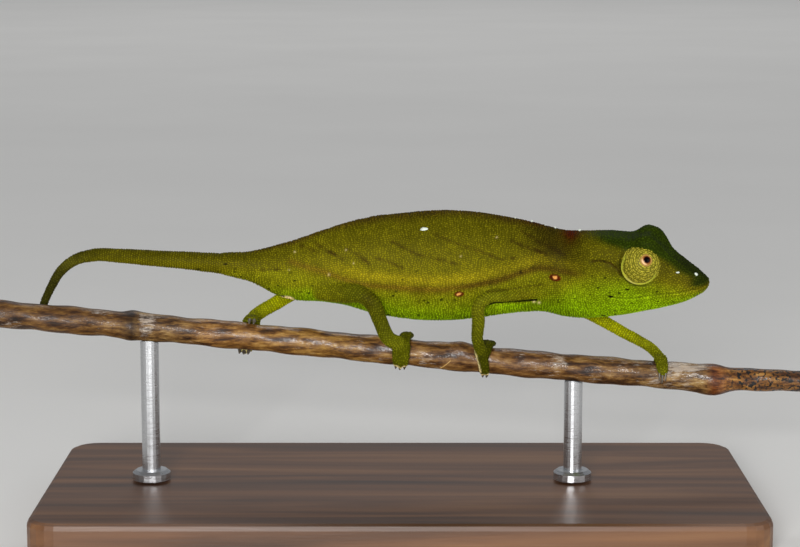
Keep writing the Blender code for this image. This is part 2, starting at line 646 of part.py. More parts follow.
def build_limb(limb, trunk_cutter):
    """The upper and lower part of a limb and its foot of two opposed bundles of toes."""
    skin, foot_skin = material("skin", SKIN, 0.55), material("foot_skin", FOOT_SKIN, 0.55)
    words = ("upper", "lower", "hand") if limb.name.startswith("arm") else ("thigh", "shank", "foot")
    along_upper = (limb.bend - limb.root).normalized()
    along_lower = (limb.ankle - limb.bend).normalized()
    fold = (along_upper + along_lower).normalized()
    line = limb_points(limb)
    half = fold * (GAP / 2)
    upper = as_object(f"{limb.name}_{words[0]}", clip(tube(line, LIMB_SIDES), limb.bend - half, fold), skin)
    cutter = trunk_cutter.copy()
    cutter.data = trunk_cutter.data.copy()
    bpy.context.scene.collection.objects.link(cutter)
    combine(upper, [cutter], "DIFFERENCE")
    wrist = along_lower * (GAP / 2)
    lower = clip(clip(tube(line, LIMB_SIDES), limb.ankle - wrist, along_lower), limb.bend + half, -fold)
    as_object(f"{limb.name}_{words[1]}", lower, skin)
    ankle = clip(tube(line, LIMB_SIDES), limb.ankle + wrist, -along_lower)
    foot = as_object(f"{limb.name}_{words[2]}", ankle, foot_skin)
    combine(foot, foot_pieces(limb), "UNION")


def foot_pieces(limb):
    """The palm, the toes and the claws of one foot, as closed pieces that run into one another."""
    ahead, _ = perch_frame(limb.foot_x)
    bm = bmesh.new()
    bmesh.ops.create_icosphere(bm, subdivisions=2, radius=1.0)
    out = around_perch(limb.foot_x, limb.palm_angle, 1.0) - perch_centre(limb.foot_x)
    basis = Matrix((ahead, out, ahead.cross(out))).transposed().to_4x4()
    shape = Matrix.Diagonal((*(radius * limb.foot_size for radius in PALM_RADII), 1.0))
    bm.transform(Matrix.Scale(MM, 4) @ Matrix.Translation(palm_centre(limb)) @ basis @ shape)
    pieces = [as_object("palm", bm)]
    for count, offset, tip in limb.bundles:
        for index in range(count):
            toe, claw = toe_points(limb, offset, count, index, tip)
            pieces.append(as_object("toe", tube(toe, TOE_SIDES)))
            pieces.append(as_object("claw", tube(claw, CLAW_SIDES)))
    return pieces


def build_perch():
    """The cut length of twig."""
    as_object("perch", perch_mesh(), material("bark", BARK, 0.5))


def build_stand():
    """A flat base and two rods whose tops are hollowed to the twig."""
    wood, steel = material("base_wood", BASE_WOOD, 0.4), material("rod_steel", ROD_STEEL, 0.3, 1.0)
    bm = bmesh.new()
    bmesh.ops.create_cube(bm, size=1.0)
    size = Matrix.Diagonal((BASE_LENGTH, BASE_WIDTH, BASE_THICKNESS, 1.0))
    bm.transform(Matrix.Scale(MM, 4) @ Matrix.Translation((0.0, 0.0, BASE_THICKNESS / 2)) @ size)
    corners = [e for e in bm.edges if abs(e.verts[0].co.z - e.verts[1].co.z) > 0.5 * BASE_THICKNESS * MM]
    bmesh.ops.bevel(bm, geom=corners, offset=BASE_CORNER * MM, segments=5, profile=0.5, affect="EDGES",
                    material=-1)
    rim = [e for e in bm.edges if all(v.co.z > 0.9 * BASE_THICKNESS * MM for v in e.verts)]
    bmesh.ops.bevel(bm, geom=rim, offset=BASE_BEVEL * MM, segments=2, profile=0.5, affect="EDGES",
                    material=-1)
    bmesh.ops.triangulate(bm, faces=bm.faces)
    base = as_object("stand_base", bm, wood)
    base.data.shade_flat()
    floor = BASE_THICKNESS + GAP
    for name, x in (("stand_rod_rear", ROD_REAR_X), ("stand_rod_front", ROD_FRONT_X)):
        top = perch_centre(x).z
        collar_top = floor + COLLAR_HEIGHT
        profile = ((COLLAR_RADIUS, floor), (COLLAR_RADIUS, floor + COLLAR_STEP_SHARE * COLLAR_HEIGHT),
                   (COLLAR_RADIUS - COLLAR_CHAMFER, collar_top), (ROD_RADIUS, collar_top), (ROD_RADIUS, top))
        turns = [2 * math.pi * k / ROD_SIDES for k in range(ROD_SIDES)]
        rings = [[Vector((x + r * math.cos(a), r * math.sin(a), z)) for a in turns] for r, z in profile]
        rod = as_object(name, loft(rings), steel)
        combine(rod, [as_object("perch_cutter", perch_mesh(GAP))], "DIFFERENCE")


def main():
    """Build every piece from the twig upwards."""
    clear_scene()
    build_perch()
    build_stand()
    build_trunk()
    build_head()
    build_eyes()
    build_tail()
    grown = trunk_piece(BODY[1].x, CUTTER_END, TRUNK_SIDES, CUTTER_RING_STEP, GAP)
    cutter = as_object("trunk_cutter", grown)
    for limb in LIMBS:
        build_limb(limb, cutter)
    bpy.data.objects.remove(cutter, do_unlink=True)


main()
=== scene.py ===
"""The looks of a small green leaf chameleon that walks along a twig, life size, on a plain display stand.

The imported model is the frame. Shapes are worked out in millimetres and turned to metres as a piece is made.
The animal walks towards +X, so its right side faces -Y and the camera.
"""

import functools
import math
from typing import NamedTuple

import bmesh
import bpy
import numpy as np
from mathutils import Matrix, Vector, noise
from mathutils.bvhtree import BVHTree


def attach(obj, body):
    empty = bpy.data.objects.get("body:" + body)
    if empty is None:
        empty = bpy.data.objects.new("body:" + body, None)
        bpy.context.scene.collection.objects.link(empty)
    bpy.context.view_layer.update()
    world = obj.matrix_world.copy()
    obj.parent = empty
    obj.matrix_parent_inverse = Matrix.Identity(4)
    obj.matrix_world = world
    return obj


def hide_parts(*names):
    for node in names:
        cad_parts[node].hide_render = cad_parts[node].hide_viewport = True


bl_info = {
    "name": "Leaf chameleon on a twig",
    "version": (1, 0, 0),
    "blender": (4, 5, 0),
    "location": "View3D > Sidebar > Chameleon",
    "description": "Builds the skin, scales, eyes, claws, twig and stand of a small chameleon",
    "category": "Add Mesh",
}

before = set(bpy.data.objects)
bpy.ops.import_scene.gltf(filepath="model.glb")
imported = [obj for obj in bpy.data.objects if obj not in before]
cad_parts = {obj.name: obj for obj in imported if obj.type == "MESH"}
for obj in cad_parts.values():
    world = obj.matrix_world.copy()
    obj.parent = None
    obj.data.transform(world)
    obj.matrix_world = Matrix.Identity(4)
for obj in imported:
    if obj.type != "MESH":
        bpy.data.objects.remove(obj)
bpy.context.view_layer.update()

MM = 0.001
SEED = 41

# The twig: its centre line, thickness, leaf nodes and bud.
TWIG_HALF_LENGTH = 56.5
TWIG_RADIUS = 1.78
TWIG_LINE = ((-57.0, 28.4), (-36.9, 26.6), (-19.6, 24.95), (-2.3, 23.2), (13.8, 21.6), (27.5, 20.4),
             (41.3, 19.35), (57.0, 18.8))
TWIG_NODE_REAR, TWIG_NODE_FRONT, TWIG_NODE_SWELL = -36.4, 42.6, 0.42
TWIG_THIN_SHARE = 0.80
BARK_DEPTH = 0.07
# How far the bark stands off the solid, and its relief.
BARK_SKIN, BARK_LUMPS, BARK_RIDGES = 0.05, 0.016, 0.014
TWIG_RINGS, TWIG_SIDES = 520, 96
CUT_INSET, CUT_DEPTH = 0.12, 0.08
BUD_X, BUD_HEIGHT, BUD_WIDTH = 8.2, 0.42, 1.3
CLEARANCE = 0.3  # what the solids keep between touching pieces

# Sections of the body with its head straight: x, back, belly, half width, height of the widest place as a
# share of the depth, and how the upper and the lower half are rounded.
BODY = np.array((
    (-24.0, 36.60, 33.50, 1.35, 0.50, 1.00, 1.00),
    (-19.6, 36.90, 32.25, 1.65, 0.50, 1.02, 1.00),
    (-16.9, 37.60, 30.80, 2.00, 0.48, 1.05, 1.00),
    (-14.4, 38.30, 30.05, 2.40, 0.47, 1.08, 0.95),
    (-10.9, 39.50, 29.85, 2.85, 0.46, 1.12, 0.95),
    (-7.6, 40.60, 29.40, 3.20, 0.45, 1.15, 0.95),
    (-3.5, 41.60, 28.20, 3.60, 0.44, 1.18, 0.95),
    (0.0, 42.00, 27.60, 3.85, 0.43, 1.20, 0.95),
    (5.0, 42.40, 27.25, 4.10, 0.43, 1.20, 0.95),
    (9.5, 42.25, 27.50, 4.05, 0.43, 1.20, 0.95),
    (13.8, 41.65, 28.10, 3.75, 0.44, 1.20, 0.95),
    (17.1, 41.00, 28.45, 3.45, 0.46, 1.18, 0.97),
    (19.6, 40.40, 28.40, 3.30, 0.48, 1.12, 1.00),
    (22.0, 39.85, 27.70, 3.35, 0.50, 1.02, 1.00),
    (25.0, 39.75, 27.30, 3.60, 0.50, 0.86, 1.02),
    (28.5, 39.80, 27.60, 3.75, 0.50, 0.78, 1.05),
    (32.0, 39.40, 28.20, 3.60, 0.48, 0.74, 1.05),
    (34.8, 38.60, 28.80, 3.15, 0.46, 0.72, 1.02),
    (36.9, 37.08, 29.35, 2.75, 0.46, 0.70, 0.98),
    (38.8, 35.48, 30.00, 2.35, 0.46, 0.72, 0.95),
    (40.3, 34.18, 30.80, 1.90, 0.46, 0.78, 0.92),
    (41.2, 33.58, 31.35, 1.40, 0.48, 0.86, 0.92),
    (41.7, 33.10, 31.95, 0.75, 0.50, 1.00, 1.00),
))
HEAD_PIVOT = np.array((23.5, 0.0, 33.5))
HEAD_YAW, HEAD_ROLL, HEAD_LIFT = math.radians(-17.0), math.radians(15.0), math.radians(2.5)
TURN_STARTS, TURN_ENDS = 17.5, 27.0
HEAD_STARTS = 24.4

# Forms of the head.
TURRET_CENTRE, TURRET_RADIUS = np.array((33.3, 2.10, 36.15)), 2.65
RIM_FROM, RIM_TO, RIM_SIZE = math.radians(150.0), math.radians(325.0), 0.24
RIM_ANGLE, LID_RING = 1.06, 0.30  # the turret's rim, in radians from its outward axis, and its rings' spacing
LID_STEPS = 44
# The lids' edge rolls into the opening: steps of radius and height from the rim, and from the opening.
LIP_OUTER = ((-0.12, -0.06), (-0.22, 0.0), (-0.30, -0.03))
LIP_INNER = ((0.0, -0.13), (-0.03, -0.30), (-0.04, -0.30))
GAZES = {-1: (30.0, 29.5), 1: (24.0, 12.0)}  # degrees forward and up, for the right and the left eye
APERTURE_RADIUS, APERTURE_DEPTH, LID_RISE, LID_WIDTH = 0.69, 0.30, 0.16, 0.24
EYE_RADIUS = 0.68
BROW_CENTRE, BROW_HEIGHT, BROW_SPREAD, BROW_FALL = np.array((34.9, 2.4, 38.9)), 1.66, 2.45, 4
CHEEK_CENTRE, CHEEK_HEIGHT, CHEEK_SPREAD = np.array((27.5, 3.5, 33.0)), 0.30, 3.0
MOUTH_LINE = ((28.7, 32.15), (29.8, 31.8), (31.2, 31.65), (33.0, 31.75), (35.0, 31.95), (36.8, 32.05),
              (38.8, 32.2), (40.5, 32.45), (41.4, 32.65))
MOUTH_TIP = (41.9, 32.7)
CANTHUS = ((35.2, 38.0), (36.6, 37.1), (38.0, 36.0), (39.3, 34.75), (40.5, 33.8))
NOSTRIL = (39.9, 33.85)
JAW_FOLD = ((27.0, 30.8), (28.7, 30.4), (30.1, 30.1), (31.6, 29.9))
# The temple's crease, a groove with painted shade along it.
TEMPLE_LINE = ((26.9, 36.9), (28.1, 37.0), (29.4, 36.7), (30.4, 36.0), (30.8, 35.0))

# The tail.
TAIL_LINE = ((-22.6, 0.00, 34.95, 1.45), (-24.0, 0.00, 35.05, 1.42), (-28.0, 0.10, 35.40, 1.27),
             (-33.0, 0.45, 35.70, 1.12), (-38.0, 1.05, 35.95, 1.00), (-41.5, 1.60, 35.98, 0.90),
             (-44.2, 2.05, 35.20, 0.79), (-46.2, 2.40, 33.60, 0.70), (-47.5, 2.72, 31.50, 0.64),
             (-48.6, 2.85, 29.20, 0.60))
GRIP_LINE = ((-48.8, 158.0, 0.57), (-48.0, 185.0, 0.54), (-46.0, 203.0, 0.50), (-43.4, 200.0, 0.46),
             (-40.4, 188.0, 0.42), (-37.6, 180.0, 0.36), (-35.6, 175.0, 0.28))


class Limb(NamedTuple):
    """A leg or an arm: its joints, thickness at each, and how its foot holds the twig."""

    name: str
    root: tuple
    bend: tuple
    ankle: tuple
    radii: tuple  # at the root, the middle of the upper part, the bend, the lower part and the ankle
    foot_x: float
    palm_angle: float  # degrees round the twig: 0 faces -Y, 90 is its top
    bundles: tuple  # (number of toes, how far the bundle is set along the twig, angle of its tips)
    foot_size: float


ARM_RADII, LEG_RADII = (1.08, 0.80, 0.88, 0.90, 0.82), (1.75, 1.40, 1.12, 1.02, 1.02)
FAR_ARM_RADII, FAR_LEG_RADII = (1.20, 1.00, 0.88, 0.82, 0.76), (1.75, 1.40, 1.08, 1.02, 0.98)
LIMBS = (
    Limb("arm_right", (19.6, -1.55, 31.4), (10.6, -4.85, 30.9), (10.4, -3.35, 25.1), ARM_RADII,
         10.9, 30.0, ((2, 0.75, -46.0), (3, 1.1, 118.0)), 1.0),
    Limb("leg_right", (-10.8, -0.9, 31.9), (-4.1, -4.70, 31.15), (-1.5, -3.55, 25.4), LEG_RADII,
         0.05, 30.0, ((3, 0.15, -48.0), (2, 0.95, 112.0)), 1.12),
    Limb("arm_left", (19.6, 2.0, 30.8), (26.9, 4.90, 26.90), (34.2, 2.35, 23.1), FAR_ARM_RADII,
         35.2, 84.0, ((3, 0.2, 8.0), (2, -0.1, 200.0)), 0.78),
    Limb("leg_left", (-11.0, 1.6, 31.9), (-13.7, 6.10, 30.75), (-19.9, 3.45, 27.2), FAR_LEG_RADII,
         -20.4, 140.0, ((2, 0.15, 78.0), (3, -0.6, 252.0)), 1.12),
)
TOE_RADIUS, TOE_STEP, TOE_TIP_SHARE = 0.44, 0.66, 0.84
CLAW_RADIUS, CLAW_TIP_RADIUS, CLAW_ANGLE = 0.25, 0.07, 22.0
CLAW_LIFT = 0.42  # how far the claws' tips stand off the bark
TIP_ROUND = 10.0  # degrees by which the outer toes of a bundle of three fall short
MITTEN_TAPER = 0.20  # how much closer the toes of a bundle lie at their tips
PALM_RADII = (1.08, 0.68, 1.20)
FOOT_SINK = 0.18  # how far the soft soles and toes press into the clearance round the twig
TOE_FAT = 0.07

# Browns of the bark from crack to ridge, and how its tone changes along the twig.
BARK_BROWNS = ((0.32, "#170c05"), (0.43, "#4c3118"), (0.52, "#7d5b30"), (0.61, "#a3824f"), (0.74, "#cdbb98"))
BARK_TINTS = ((-56.5, "#aea083"), (-38.0, "#b9ac92"), (-36.2, "#696052"), (-34.8, "#d0d0cc"),
              (-29.0, "#d3cfc4"), (-26.0, "#e5d6be"), (-11.0, "#e8deb4"), (6.0, "#c6b8a6"), (18.0, "#bfae9a"),
              (30.0, "#c9c0b4"), (35.0, "#e2e2e4"), (41.0, "#e8eaec"), (42.4, "#ce9c80"), (43.6, "#d5b094"),
              (45.0, "#edd29a"), (56.5, "#b8a27c"))
WALNUT_BROWNS = ((0.30, "#3a2414"), (0.48, "#5a3a22"), (0.60, "#6d492c"), (0.75, "#7f5a38"))

# The eye's colours from the middle of the pupil to the edge of the iris.
IRIS_RINGS = ((0.0, "#020204"), (0.46, "#030203"), (0.56, "#1c0503"), (0.68, "#5a2c14"), (0.82, "#94602e"),
              (1.0, "#9c7a38"))

# Where the bark is bare and grey, from black for none to white; towards the front leaf node the pale grey is
# partly painted highlight of the wet bark.
BARK_BARE = ((-36.0, "#000000"), (-34.6, "#d8d8d8"), (-29.5, "#a0a0a0"), (-27.0, "#202020"),
             (14.0, "#202020"), (21.0, "#5a5a5a"), (32.5, "#707070"), (35.0, "#e0e0e0"), (41.4, "#ffffff"),
             (42.4, "#000000"))
DAMP_FROM, DAMP_TO = -32.0, -16.0  # the bark left of this is drier

# Grains that cling to the skin, as place and half sizes.
GRAINS = (((39.26, -6.19, 34.74), (0.27, 0.27, 0.2)), ((36.66, -6.86, 34.91), (0.12, 0.25, 0.1)),
          ((24.1, -0.8, 39.7), (0.22, 0.18, 0.15)), ((15.5, -0.2, 41.4), (0.1, 0.1, 0.16)),
          ((17.8, -0.2, 41.2), (0.1, 0.1, 0.28)), ((21.0, -0.3, 40.4), (0.1, 0.1, 0.18)),
          ((3.2, -2.5, 40.1), (0.24, 0.50, 0.12)), ((19.6, -0.3, 40.7), (0.08, 0.08, 0.12)))

# Lines of the markings on the straight body, as x and z.
STRIPE = ((-14.6, 35.6), (-13.4, 35.2), (-10.7, 34.5), (-8.0, 33.6), (-5.3, 32.7), (0.0, 32.3), (5.3, 32.1),
          (9.3, 32.6), (13.3, 33.4), (16.0, 34.3), (18.7, 35.0), (21.8, 34.9), (25.1, 35.0), (27.5, 35.2))
STREAKS = (
    ((16.4, 39.6), (18.75, 38.25), (22.5, 37.1)),
    ((14.8, 38.5), (16.7, 37.7), (19.8, 36.8)),
    ((4.5, 39.5), (8.0, 38.1), (10.65, 37.2), (13.2, 36.2), (15.2, 36.3)),
    ((-0.93, 38.4), (2.26, 36.8), (5.46, 36.1), (8.0, 35.5)),
    ((-3.3, 36.4), (-1.3, 35.7), (0.3, 35.0)),
    ((-7.1, 37.5), (-5.5, 36.6), (-4.2, 35.6)),
    ((-11.4, 38.1), (-9.6, 37.1), (-7.6, 36.1)),
    ((-13.4, 37.7), (-10.9, 37.0)),
)
REAR_LINE = ((-18.6, 34.4), (-15.7, 34.6))
GREEN_TOP = ((-24.0, 34.2), (-16.0, 34.6), (-8.0, 33.3), (0.0, 31.9), (6.0, 31.7), (13.3, 33.0), (18.7, 34.6),
             (24.0, 35.3), (28.0, 36.4), (30.5, 36.0), (32.0, 34.1), (36.0, 33.3), (38.4, 33.1), (39.8, 32.2),
             (42.0, 32.0))
LIME_LEVEL = ((-20.0, 0.17), (-6.0, 0.15), (8.0, 0.12), (14.0, 0.13), (18.0, 0.15), (21.0, 0.22),
              (24.0, 0.38), (32.0, 0.42), (35.0, 0.30), (38.0, 0.20), (42.0, 0.08))
CROWN_EDGE = ((22.5, 40.7), (25.5, 39.7), (27.0, 39.3), (29.2, 38.7), (31.5, 38.1), (34.6, 37.7),
              (36.2, 36.7), (38.0, 35.3), (39.5, 34.2), (41.0, 33.2), (42.0, 32.8))
LORE_LINE = ((30.0, 36.4), (36.5, 35.6), (39.5, 34.2), (41.5, 33.5))
CHIN_LINE = ((33.0, 28.4), (37.0, 29.2), (39.5, 30.2), (41.2, 31.2))
NAPE_SPOT, SADDLE_SPOT, TEMPLE_SPOT = (23.4, -0.4, 39.5), (18.5, 0.0, 40.8), (27.8, 37.8)
LIP_RISE, BAND_RISE = (0.0, 0.65), (0.0, 1.2)  # from mouth to green lip, and from stripe to band
EYE_SHADE, GROOVE_SHADE, RIM_SHADE = (-0.75, 0.0, -0.66), (-0.8, 0.0, -0.6), (-0.55, 0.0, -0.83)
FLANK_SPOTS = ((21.0, 33.9, 0.60), (7.9, 31.5, 0.44))  # x, z and radius of the rust-ringed pale spots
BLACK_FLECKS = (
    (31.5, 33.0, 0.22), (29.2, 32.0, 0.28), (28.7, 34.8, 0.16), (26.9, 35.0, 0.12), (27.6, 33.4, 0.13),
    (25.6, 35.3, 0.13), (25.5, 31.0, 0.12), (23.9, 31.3, 0.12), (22.2, 30.9, 0.12), (28.6, 36.9, 0.11),
    (26.4, 32.3, 0.12), (30.4, 34.5, 0.12), (25.5, 33.6, 0.12), (33.0, 31.7, 0.12), (34.4, 34.0, 0.12),
    (35.3, 32.4, 0.13), (36.9, 36.0, 0.12), (35.2, 30.8, 0.12), (37.1, 30.5, 0.13),
    (-13.3, 31.5, 0.14), (-11.7, 32.4, 0.14), (-10.5, 32.1, 0.12), (-8.0, 31.9, 0.15), (-7.5, 32.6, 0.12),
    (-6.7, 31.5, 0.13), (-14.1, 33.1, 0.14), (-16.4, 32.3, 0.14), (-23.4, 35.2, 0.18), (-22.2, 34.1, 0.12),
    (-0.9, 31.2, 0.14), (3.2, 30.6, 0.12),
)
PALE_DOTS = ((-14.1, 36.9, 0.15), (-7.2, 37.3, 0.15), (-6.2, 35.6, 0.13), (12.9, 39.0, 0.15),
             (8.1, 36.6, 0.13), (-14.9, 34.5, 0.13), (-9.5, 34.0, 0.18), (18.0, 30.3, 0.28),
             (18.7, 30.1, 0.25))
VENT_PATCH = (-15.3, -0.6, 30.3)
# The slit between the right arm and the chest: a groove, with painted shade along it.
ARM_GAP = ((11.7, 29.95), (12.6, 30.2), (14.0, 30.3), (16.5, 30.4), (18.3, 30.5))
ARM_TOP = ((11.7, 31.95), (14.4, 32.1), (16.7, 32.4), (18.9, 32.65))  # where the arm folds from the flank, with a painted shadow line along the fold
SPLINTER_X, SPLINTER_DEGREES, SPLINTER_RADIUS = (5.5, 6.9), (-52.0, -6.0), 0.07
GRAIN_SINK, GRAIN_ROUGH = 0.08, 0.55  # how far the dried grains stand off the skin and how lumpy they are
KNEE_PATCH = (-4.2, -5.6, 31.0)
FAR_TOES = (-21.0, 23.1)
HAND_EDGE = ((9.75, 24.2), (10.2, 23.1), (10.55, 21.8), (10.85, 20.6))  # the hand's pale rear edge
# How much lighter or darker the right arm and the right leg are, by their share from root to sole.
LIMB_TONES = (((0.0, 0.10), (0.25, 0.25), (0.5, 0.15), (0.75, 0.0), (0.95, -0.32)),
              ((0.1, -0.12), (0.4, -0.30), (0.75, -0.34), (0.9, 0.10), (1.0, 0.30)))

# The middle of the view, the room's colour, and each light's place, aim, size and share of the key's power.
VIEW_TARGET = (0.0, 0.0, 0.03369)
ROOM_COLOUR = (0.93, 0.96, 1.0, 1.0)
LAMPS = (("key", (-0.06, -0.47, 0.125), VIEW_TARGET, 0.13, 1.0),
         ("side", (0.42, -0.30, 0.16), VIEW_TARGET, 0.3, 0.22),
         ("back", (0.0, 1.50, 1.90), (0.0, 1.2, 0.0), 0.8, 4.0))

# The skin stands for these solids and lies a little inside them, and the scales fill the rest.
SKIN_NODES = ["head", "neck", "torso", "tail_root", "tail_base", "tail_middle", "tail_bend", "tail_tip"]
SKIN_NODES += ["arm_" + side + part for side in ("right_", "left_") for part in ("upper", "lower", "hand")]
SKIN_NODES += ["leg_" + side + part for side in ("right_", "left_") for part in ("thigh", "shank", "foot")]
SKIN_DEPTH, TAIL_DEPTH, LIMB_DEPTH = 0.10, 0.06, 0.07
VOXEL = 0.21
JOIN_GAP, JOIN_REACH = 0.55, 0.8  # where limbs meet the trunk, the skin is smoothed more
SLICE = 0.35  # between the trunk's rings
TRUNK_SIDES, TUBE_SIDES, TOE_SIDES, RIM_SIDES, FIBRE_SIDES, LID_SIDES, EYE_SIDES = 64, 24, 12, 16, 10, 72, 40
TAIL_POINTS, LIMB_POINTS, TOE_POINTS, LINE_POINTS, RIM_POINTS = 150, 48, 12, 24, 40

# The groups of scales, and how close together scales of each kind of row may lie.
SCALE_PIECES = ("scales_right_flank", "scales_left_flank", "scales_head", "scales_tail", "scales_limbs")
RIGHT, LEFT, HEAD, TAIL, LIMB = range(5)
BEAD_STEP, TRUNK_STEP, ROW_STEP, LOOSE_STEP, LOOSE_SHARE = 0.34, 0.21, 0.22, 0.27, 0.93
BEAD_SPACING, BEAD_SIZE, BEAD_RISE = 0.44, 0.215, 0.30
ROW_SPACING, ROW_WANDER = 0.33, 0.12
LOOSE_COUNT, LOOSE_COUNT_QUICK = 90000, 30000
SEARCH_CELL = 0.42  # wider than any step
SKIN_REACH, EYE_GAP = 0.3, 0.08  # how far a root may lie from the skin, and from the turret
SHOULDER, SKIRT = (0.82, 0.78), (1.13, -0.25)  # how wide and how high a scale's two rings are
LID_SPACING, LID_SCALE, LID_HEIGHT = 0.36, (0.23, 0.118), 0.065
MAP_EDGE, MAP_PATCH = 0.01, 0.0013  # the map's margin, and half the patch of one scale on it

# Which shares of the markings each colour attribute holds, and the order in which the pigments lie. The
# grain's top is the painted light and shade of each scale's relief.
PAINT_LAYERS = {"zones": ("green", "lime", "neck", "crown"), "ends": ("tail", "tail_end", "limb", "foot"),
                "sides": ("inner", "lore", "snout", "back"), "marks": ("stripe", "band", "rust", "fleck_and_shade"),
                "grain": ("tone", "top", "pale"), "lines": ("streak", "amber")}
PIGMENTS = ("back", "green", "lime", "lore", "crown", "snout", "tail", "tail_end", "limb", "inner", "foot",
            "neck", "band", "stripe", "streak", "rust")


def linear(code):
    """An sRGB hex colour as linear red, green, blue and alpha."""
    shares = [int(code[i:i + 2], 16) / 255 for i in (1, 3, 5)]
    return (*(s / 12.92 if s <= 0.04045 else ((s + 0.055) / 1.055) ** 2.4 for s in shares), 1.0)


def colour_property(name, description, code):
    """A colour that a user may change."""
    return bpy.props.FloatVectorProperty(name=name, description=description, subtype="COLOR", size=4,
                                         min=0.0, max=1.0, default=linear(code))


class SkinSettings(bpy.types.PropertyGroup):
    """Colours of the skin and its scales."""

    flank: colour_property("Flank", "Olive of the upper flank", "#635d08")
    green: colour_property("Lower flank", "Yellow green below the stripe", "#706e0a")
    lime: colour_property("Throat and belly", "Bright green of the throat and the belly's edge", "#84a708")
    neck: colour_property("Neck", "Brown olive of the upper neck", "#493f08")
    lore: colour_property("Lore", "Brown green between eye and nostril", "#58520a")
    crown: colour_property("Crown", "Dark green of the crown and brows", "#2b3805")
    # The snout's darkest green is partly its own colour and partly painted shade on the roof of the snout.
    snout: colour_property("Snout", "Darkest green on top of the snout", "#222a05")
    back: colour_property("Back", "Brown edge of the back", "#4a3b08")
    tail: colour_property("Tail", "Olive of the tail", "#544e06")
    tail_end: colour_property("Tail's end", "Grey brown of the hanging tail", "#403e10")
    limb: colour_property("Limbs", "Olive of the near arm and leg", "#63640c")
    inner: colour_property("Inner limbs", "Lime of the limbs' inner sides", "#909206")
    foot: colour_property("Feet", "Dark olive of the feet", "#515206")
    stripe: colour_property("Stripe", "Brown of the side stripe and the streaks", "#67530f")
    band: colour_property("Band", "Yellow olive above the stripe", "#82760e")
    rust: colour_property("Rust", "Rust red of the nape and round the spots", "#541b04")
    pale: colour_property("Pale", "Cream of vent, spots and lips' edge", "#dcc68c")
    amber: colour_property("Amber", "Amber middle of the spots", "#d89a50")
    # The streaks' brown also paints the shade in the temple's crease and where the right arm folds from the
    # flank.
    streak: colour_property("Streaks", "Dark brown of the slanting streaks", "#3a2c06")
    # The flecks' black also paints the shade in the slit under the right arm, round the turrets and along the
    # mouth.
    fleck_and_shade: colour_property("Flecks", "Black green of the small flecks", "#070802")


class ScaleSettings(bpy.types.PropertyGroup):
    """Sizes of the scales."""

    row: bpy.props.FloatProperty(name="Row spacing", description="Between rings of the trunk's scales, in mm",
                                 default=0.33, min=0.2, max=1.0)
    around: bpy.props.FloatProperty(name="Spacing in a row", description="Between scales of a ring, in mm",
                                    default=0.29, min=0.2, max=1.0)
    limb: bpy.props.FloatProperty(name="Limb spacing", description="Between scales on limbs and tail, in mm",
                                  default=0.31, min=0.2, max=1.0)
    head: bpy.props.FloatProperty(name="Head spacing", description="Between scales of the head, in mm",
                                  default=0.29, min=0.2, max=1.0)
    height: bpy.props.FloatProperty(name="Height", description="How far a scale stands out, in mm",
                                    default=0.075, min=0.02, max=0.3)


class StageSettings(bpy.types.PropertyGroup):
    """The camera and the light."""

    distance: bpy.props.FloatProperty(name="Distance", description="From the camera to what it looks at",
                                      default=0.300, unit="LENGTH")
    elevation: bpy.props.FloatProperty(name="Elevation", description="Of the camera over the horizon",
                                       default=math.radians(9.0), subtype="ANGLE")
    key: bpy.props.FloatProperty(name="Key light", description="Power of the main soft light, in watts",
                                 default=2.5, min=0.0)
    fill: bpy.props.FloatProperty(name="Room light", description="Strength of the even light all round",
                                  default=0.30, min=0.0)


def smooth_curve(xs, ys, at):
    """The smooth curve through the points (xs, ys), read at the places in at."""
    xs, ys, at = (np.asarray(v, float) for v in (xs, ys, at))
    slopes = np.gradient(ys, xs)
    i = np.clip(np.searchsorted(xs, at) - 1, 0, len(xs) - 2)
    step = xs[i + 1] - xs[i]
    t = (at - xs[i]) / step
    return ((2 * t**3 - 3 * t**2 + 1) * ys[i] + (t**3 - 2 * t**2 + t) * step * slopes[i]
            + (3 * t**2 - 2 * t**3) * ys[i + 1] + (t**3 - t**2) * step * slopes[i + 1])


def lengths(vectors):
    """The length of each vector."""
    return np.linalg.norm(vectors, axis=-1)


def run_along(points):
    """How far along its line each point lies."""
    return np.concatenate([[0], np.cumsum(lengths(np.diff(points[:, :3], axis=0)))])


def smooth_path(points, count):
    """count evenly spaced points on the smooth curve through the given ones, of any number of values."""
    points = np.asarray(points, float)
    along = run_along(points)
    places = np.linspace(0, along[-1], count)
    return np.stack([smooth_curve(along, column, places) for column in points.T], axis=1)


def line_height(line, x):
    """The height of a marking's line at x."""
    xs, zs = zip(*line)
    return np.interp(x, xs, zs)


def ease(t):
    """A smooth step from 0 to 1."""
    t = np.clip(t, 0.0, 1.0)
    return t * t * (3 - 2 * t)


def near(distance, width):
    """1 on a line or at a point, falling off smoothly beyond the width."""
    return np.exp(-((distance / width) ** 2))


def from_line(points, line):
    """The distance of each point from a line of straight pieces, in two or three dimensions."""
    line = np.asarray(line, float)
    best = np.full(len(points), np.inf)
    for a, b in zip(line, line[1:]):
        t = np.clip((points - a) @ (b - a) / max((b - a) @ (b - a), 1e-12), 0, 1)
        best = np.minimum(best, lengths(points - a - t[:, None] * (b - a)))
    return best


def unit(v):
    """Vectors of length one."""
    return v / np.maximum(lengths(v)[..., None], 1e-12)


def wander(points, size, shift=0.0):
    """A smooth random value from about -1 to 1 at each point, varying over the size in millimetres."""
    return np.array([noise.noise(Vector(p)) for p in points / size + shift])


def round_angles(count):
    """Evenly spaced angles of a whole turn."""
    return np.arange(count) * 2 * math.pi / count


def turn_part(angle):
    """An angle as a part of a whole turn, on the map of the skin."""
    return (angle / (2 * math.pi)) % 1.0


def joined(*lists):
    """Lists of arrays, each as one array."""
    return [np.concatenate(arrays) for arrays in lists]


def girths(x):
    """The body's sections at x, as back, belly, half width, widest, upper and lower."""
    return [smooth_curve(BODY[:, 0], column, x) for column in BODY[:, 1:].T]


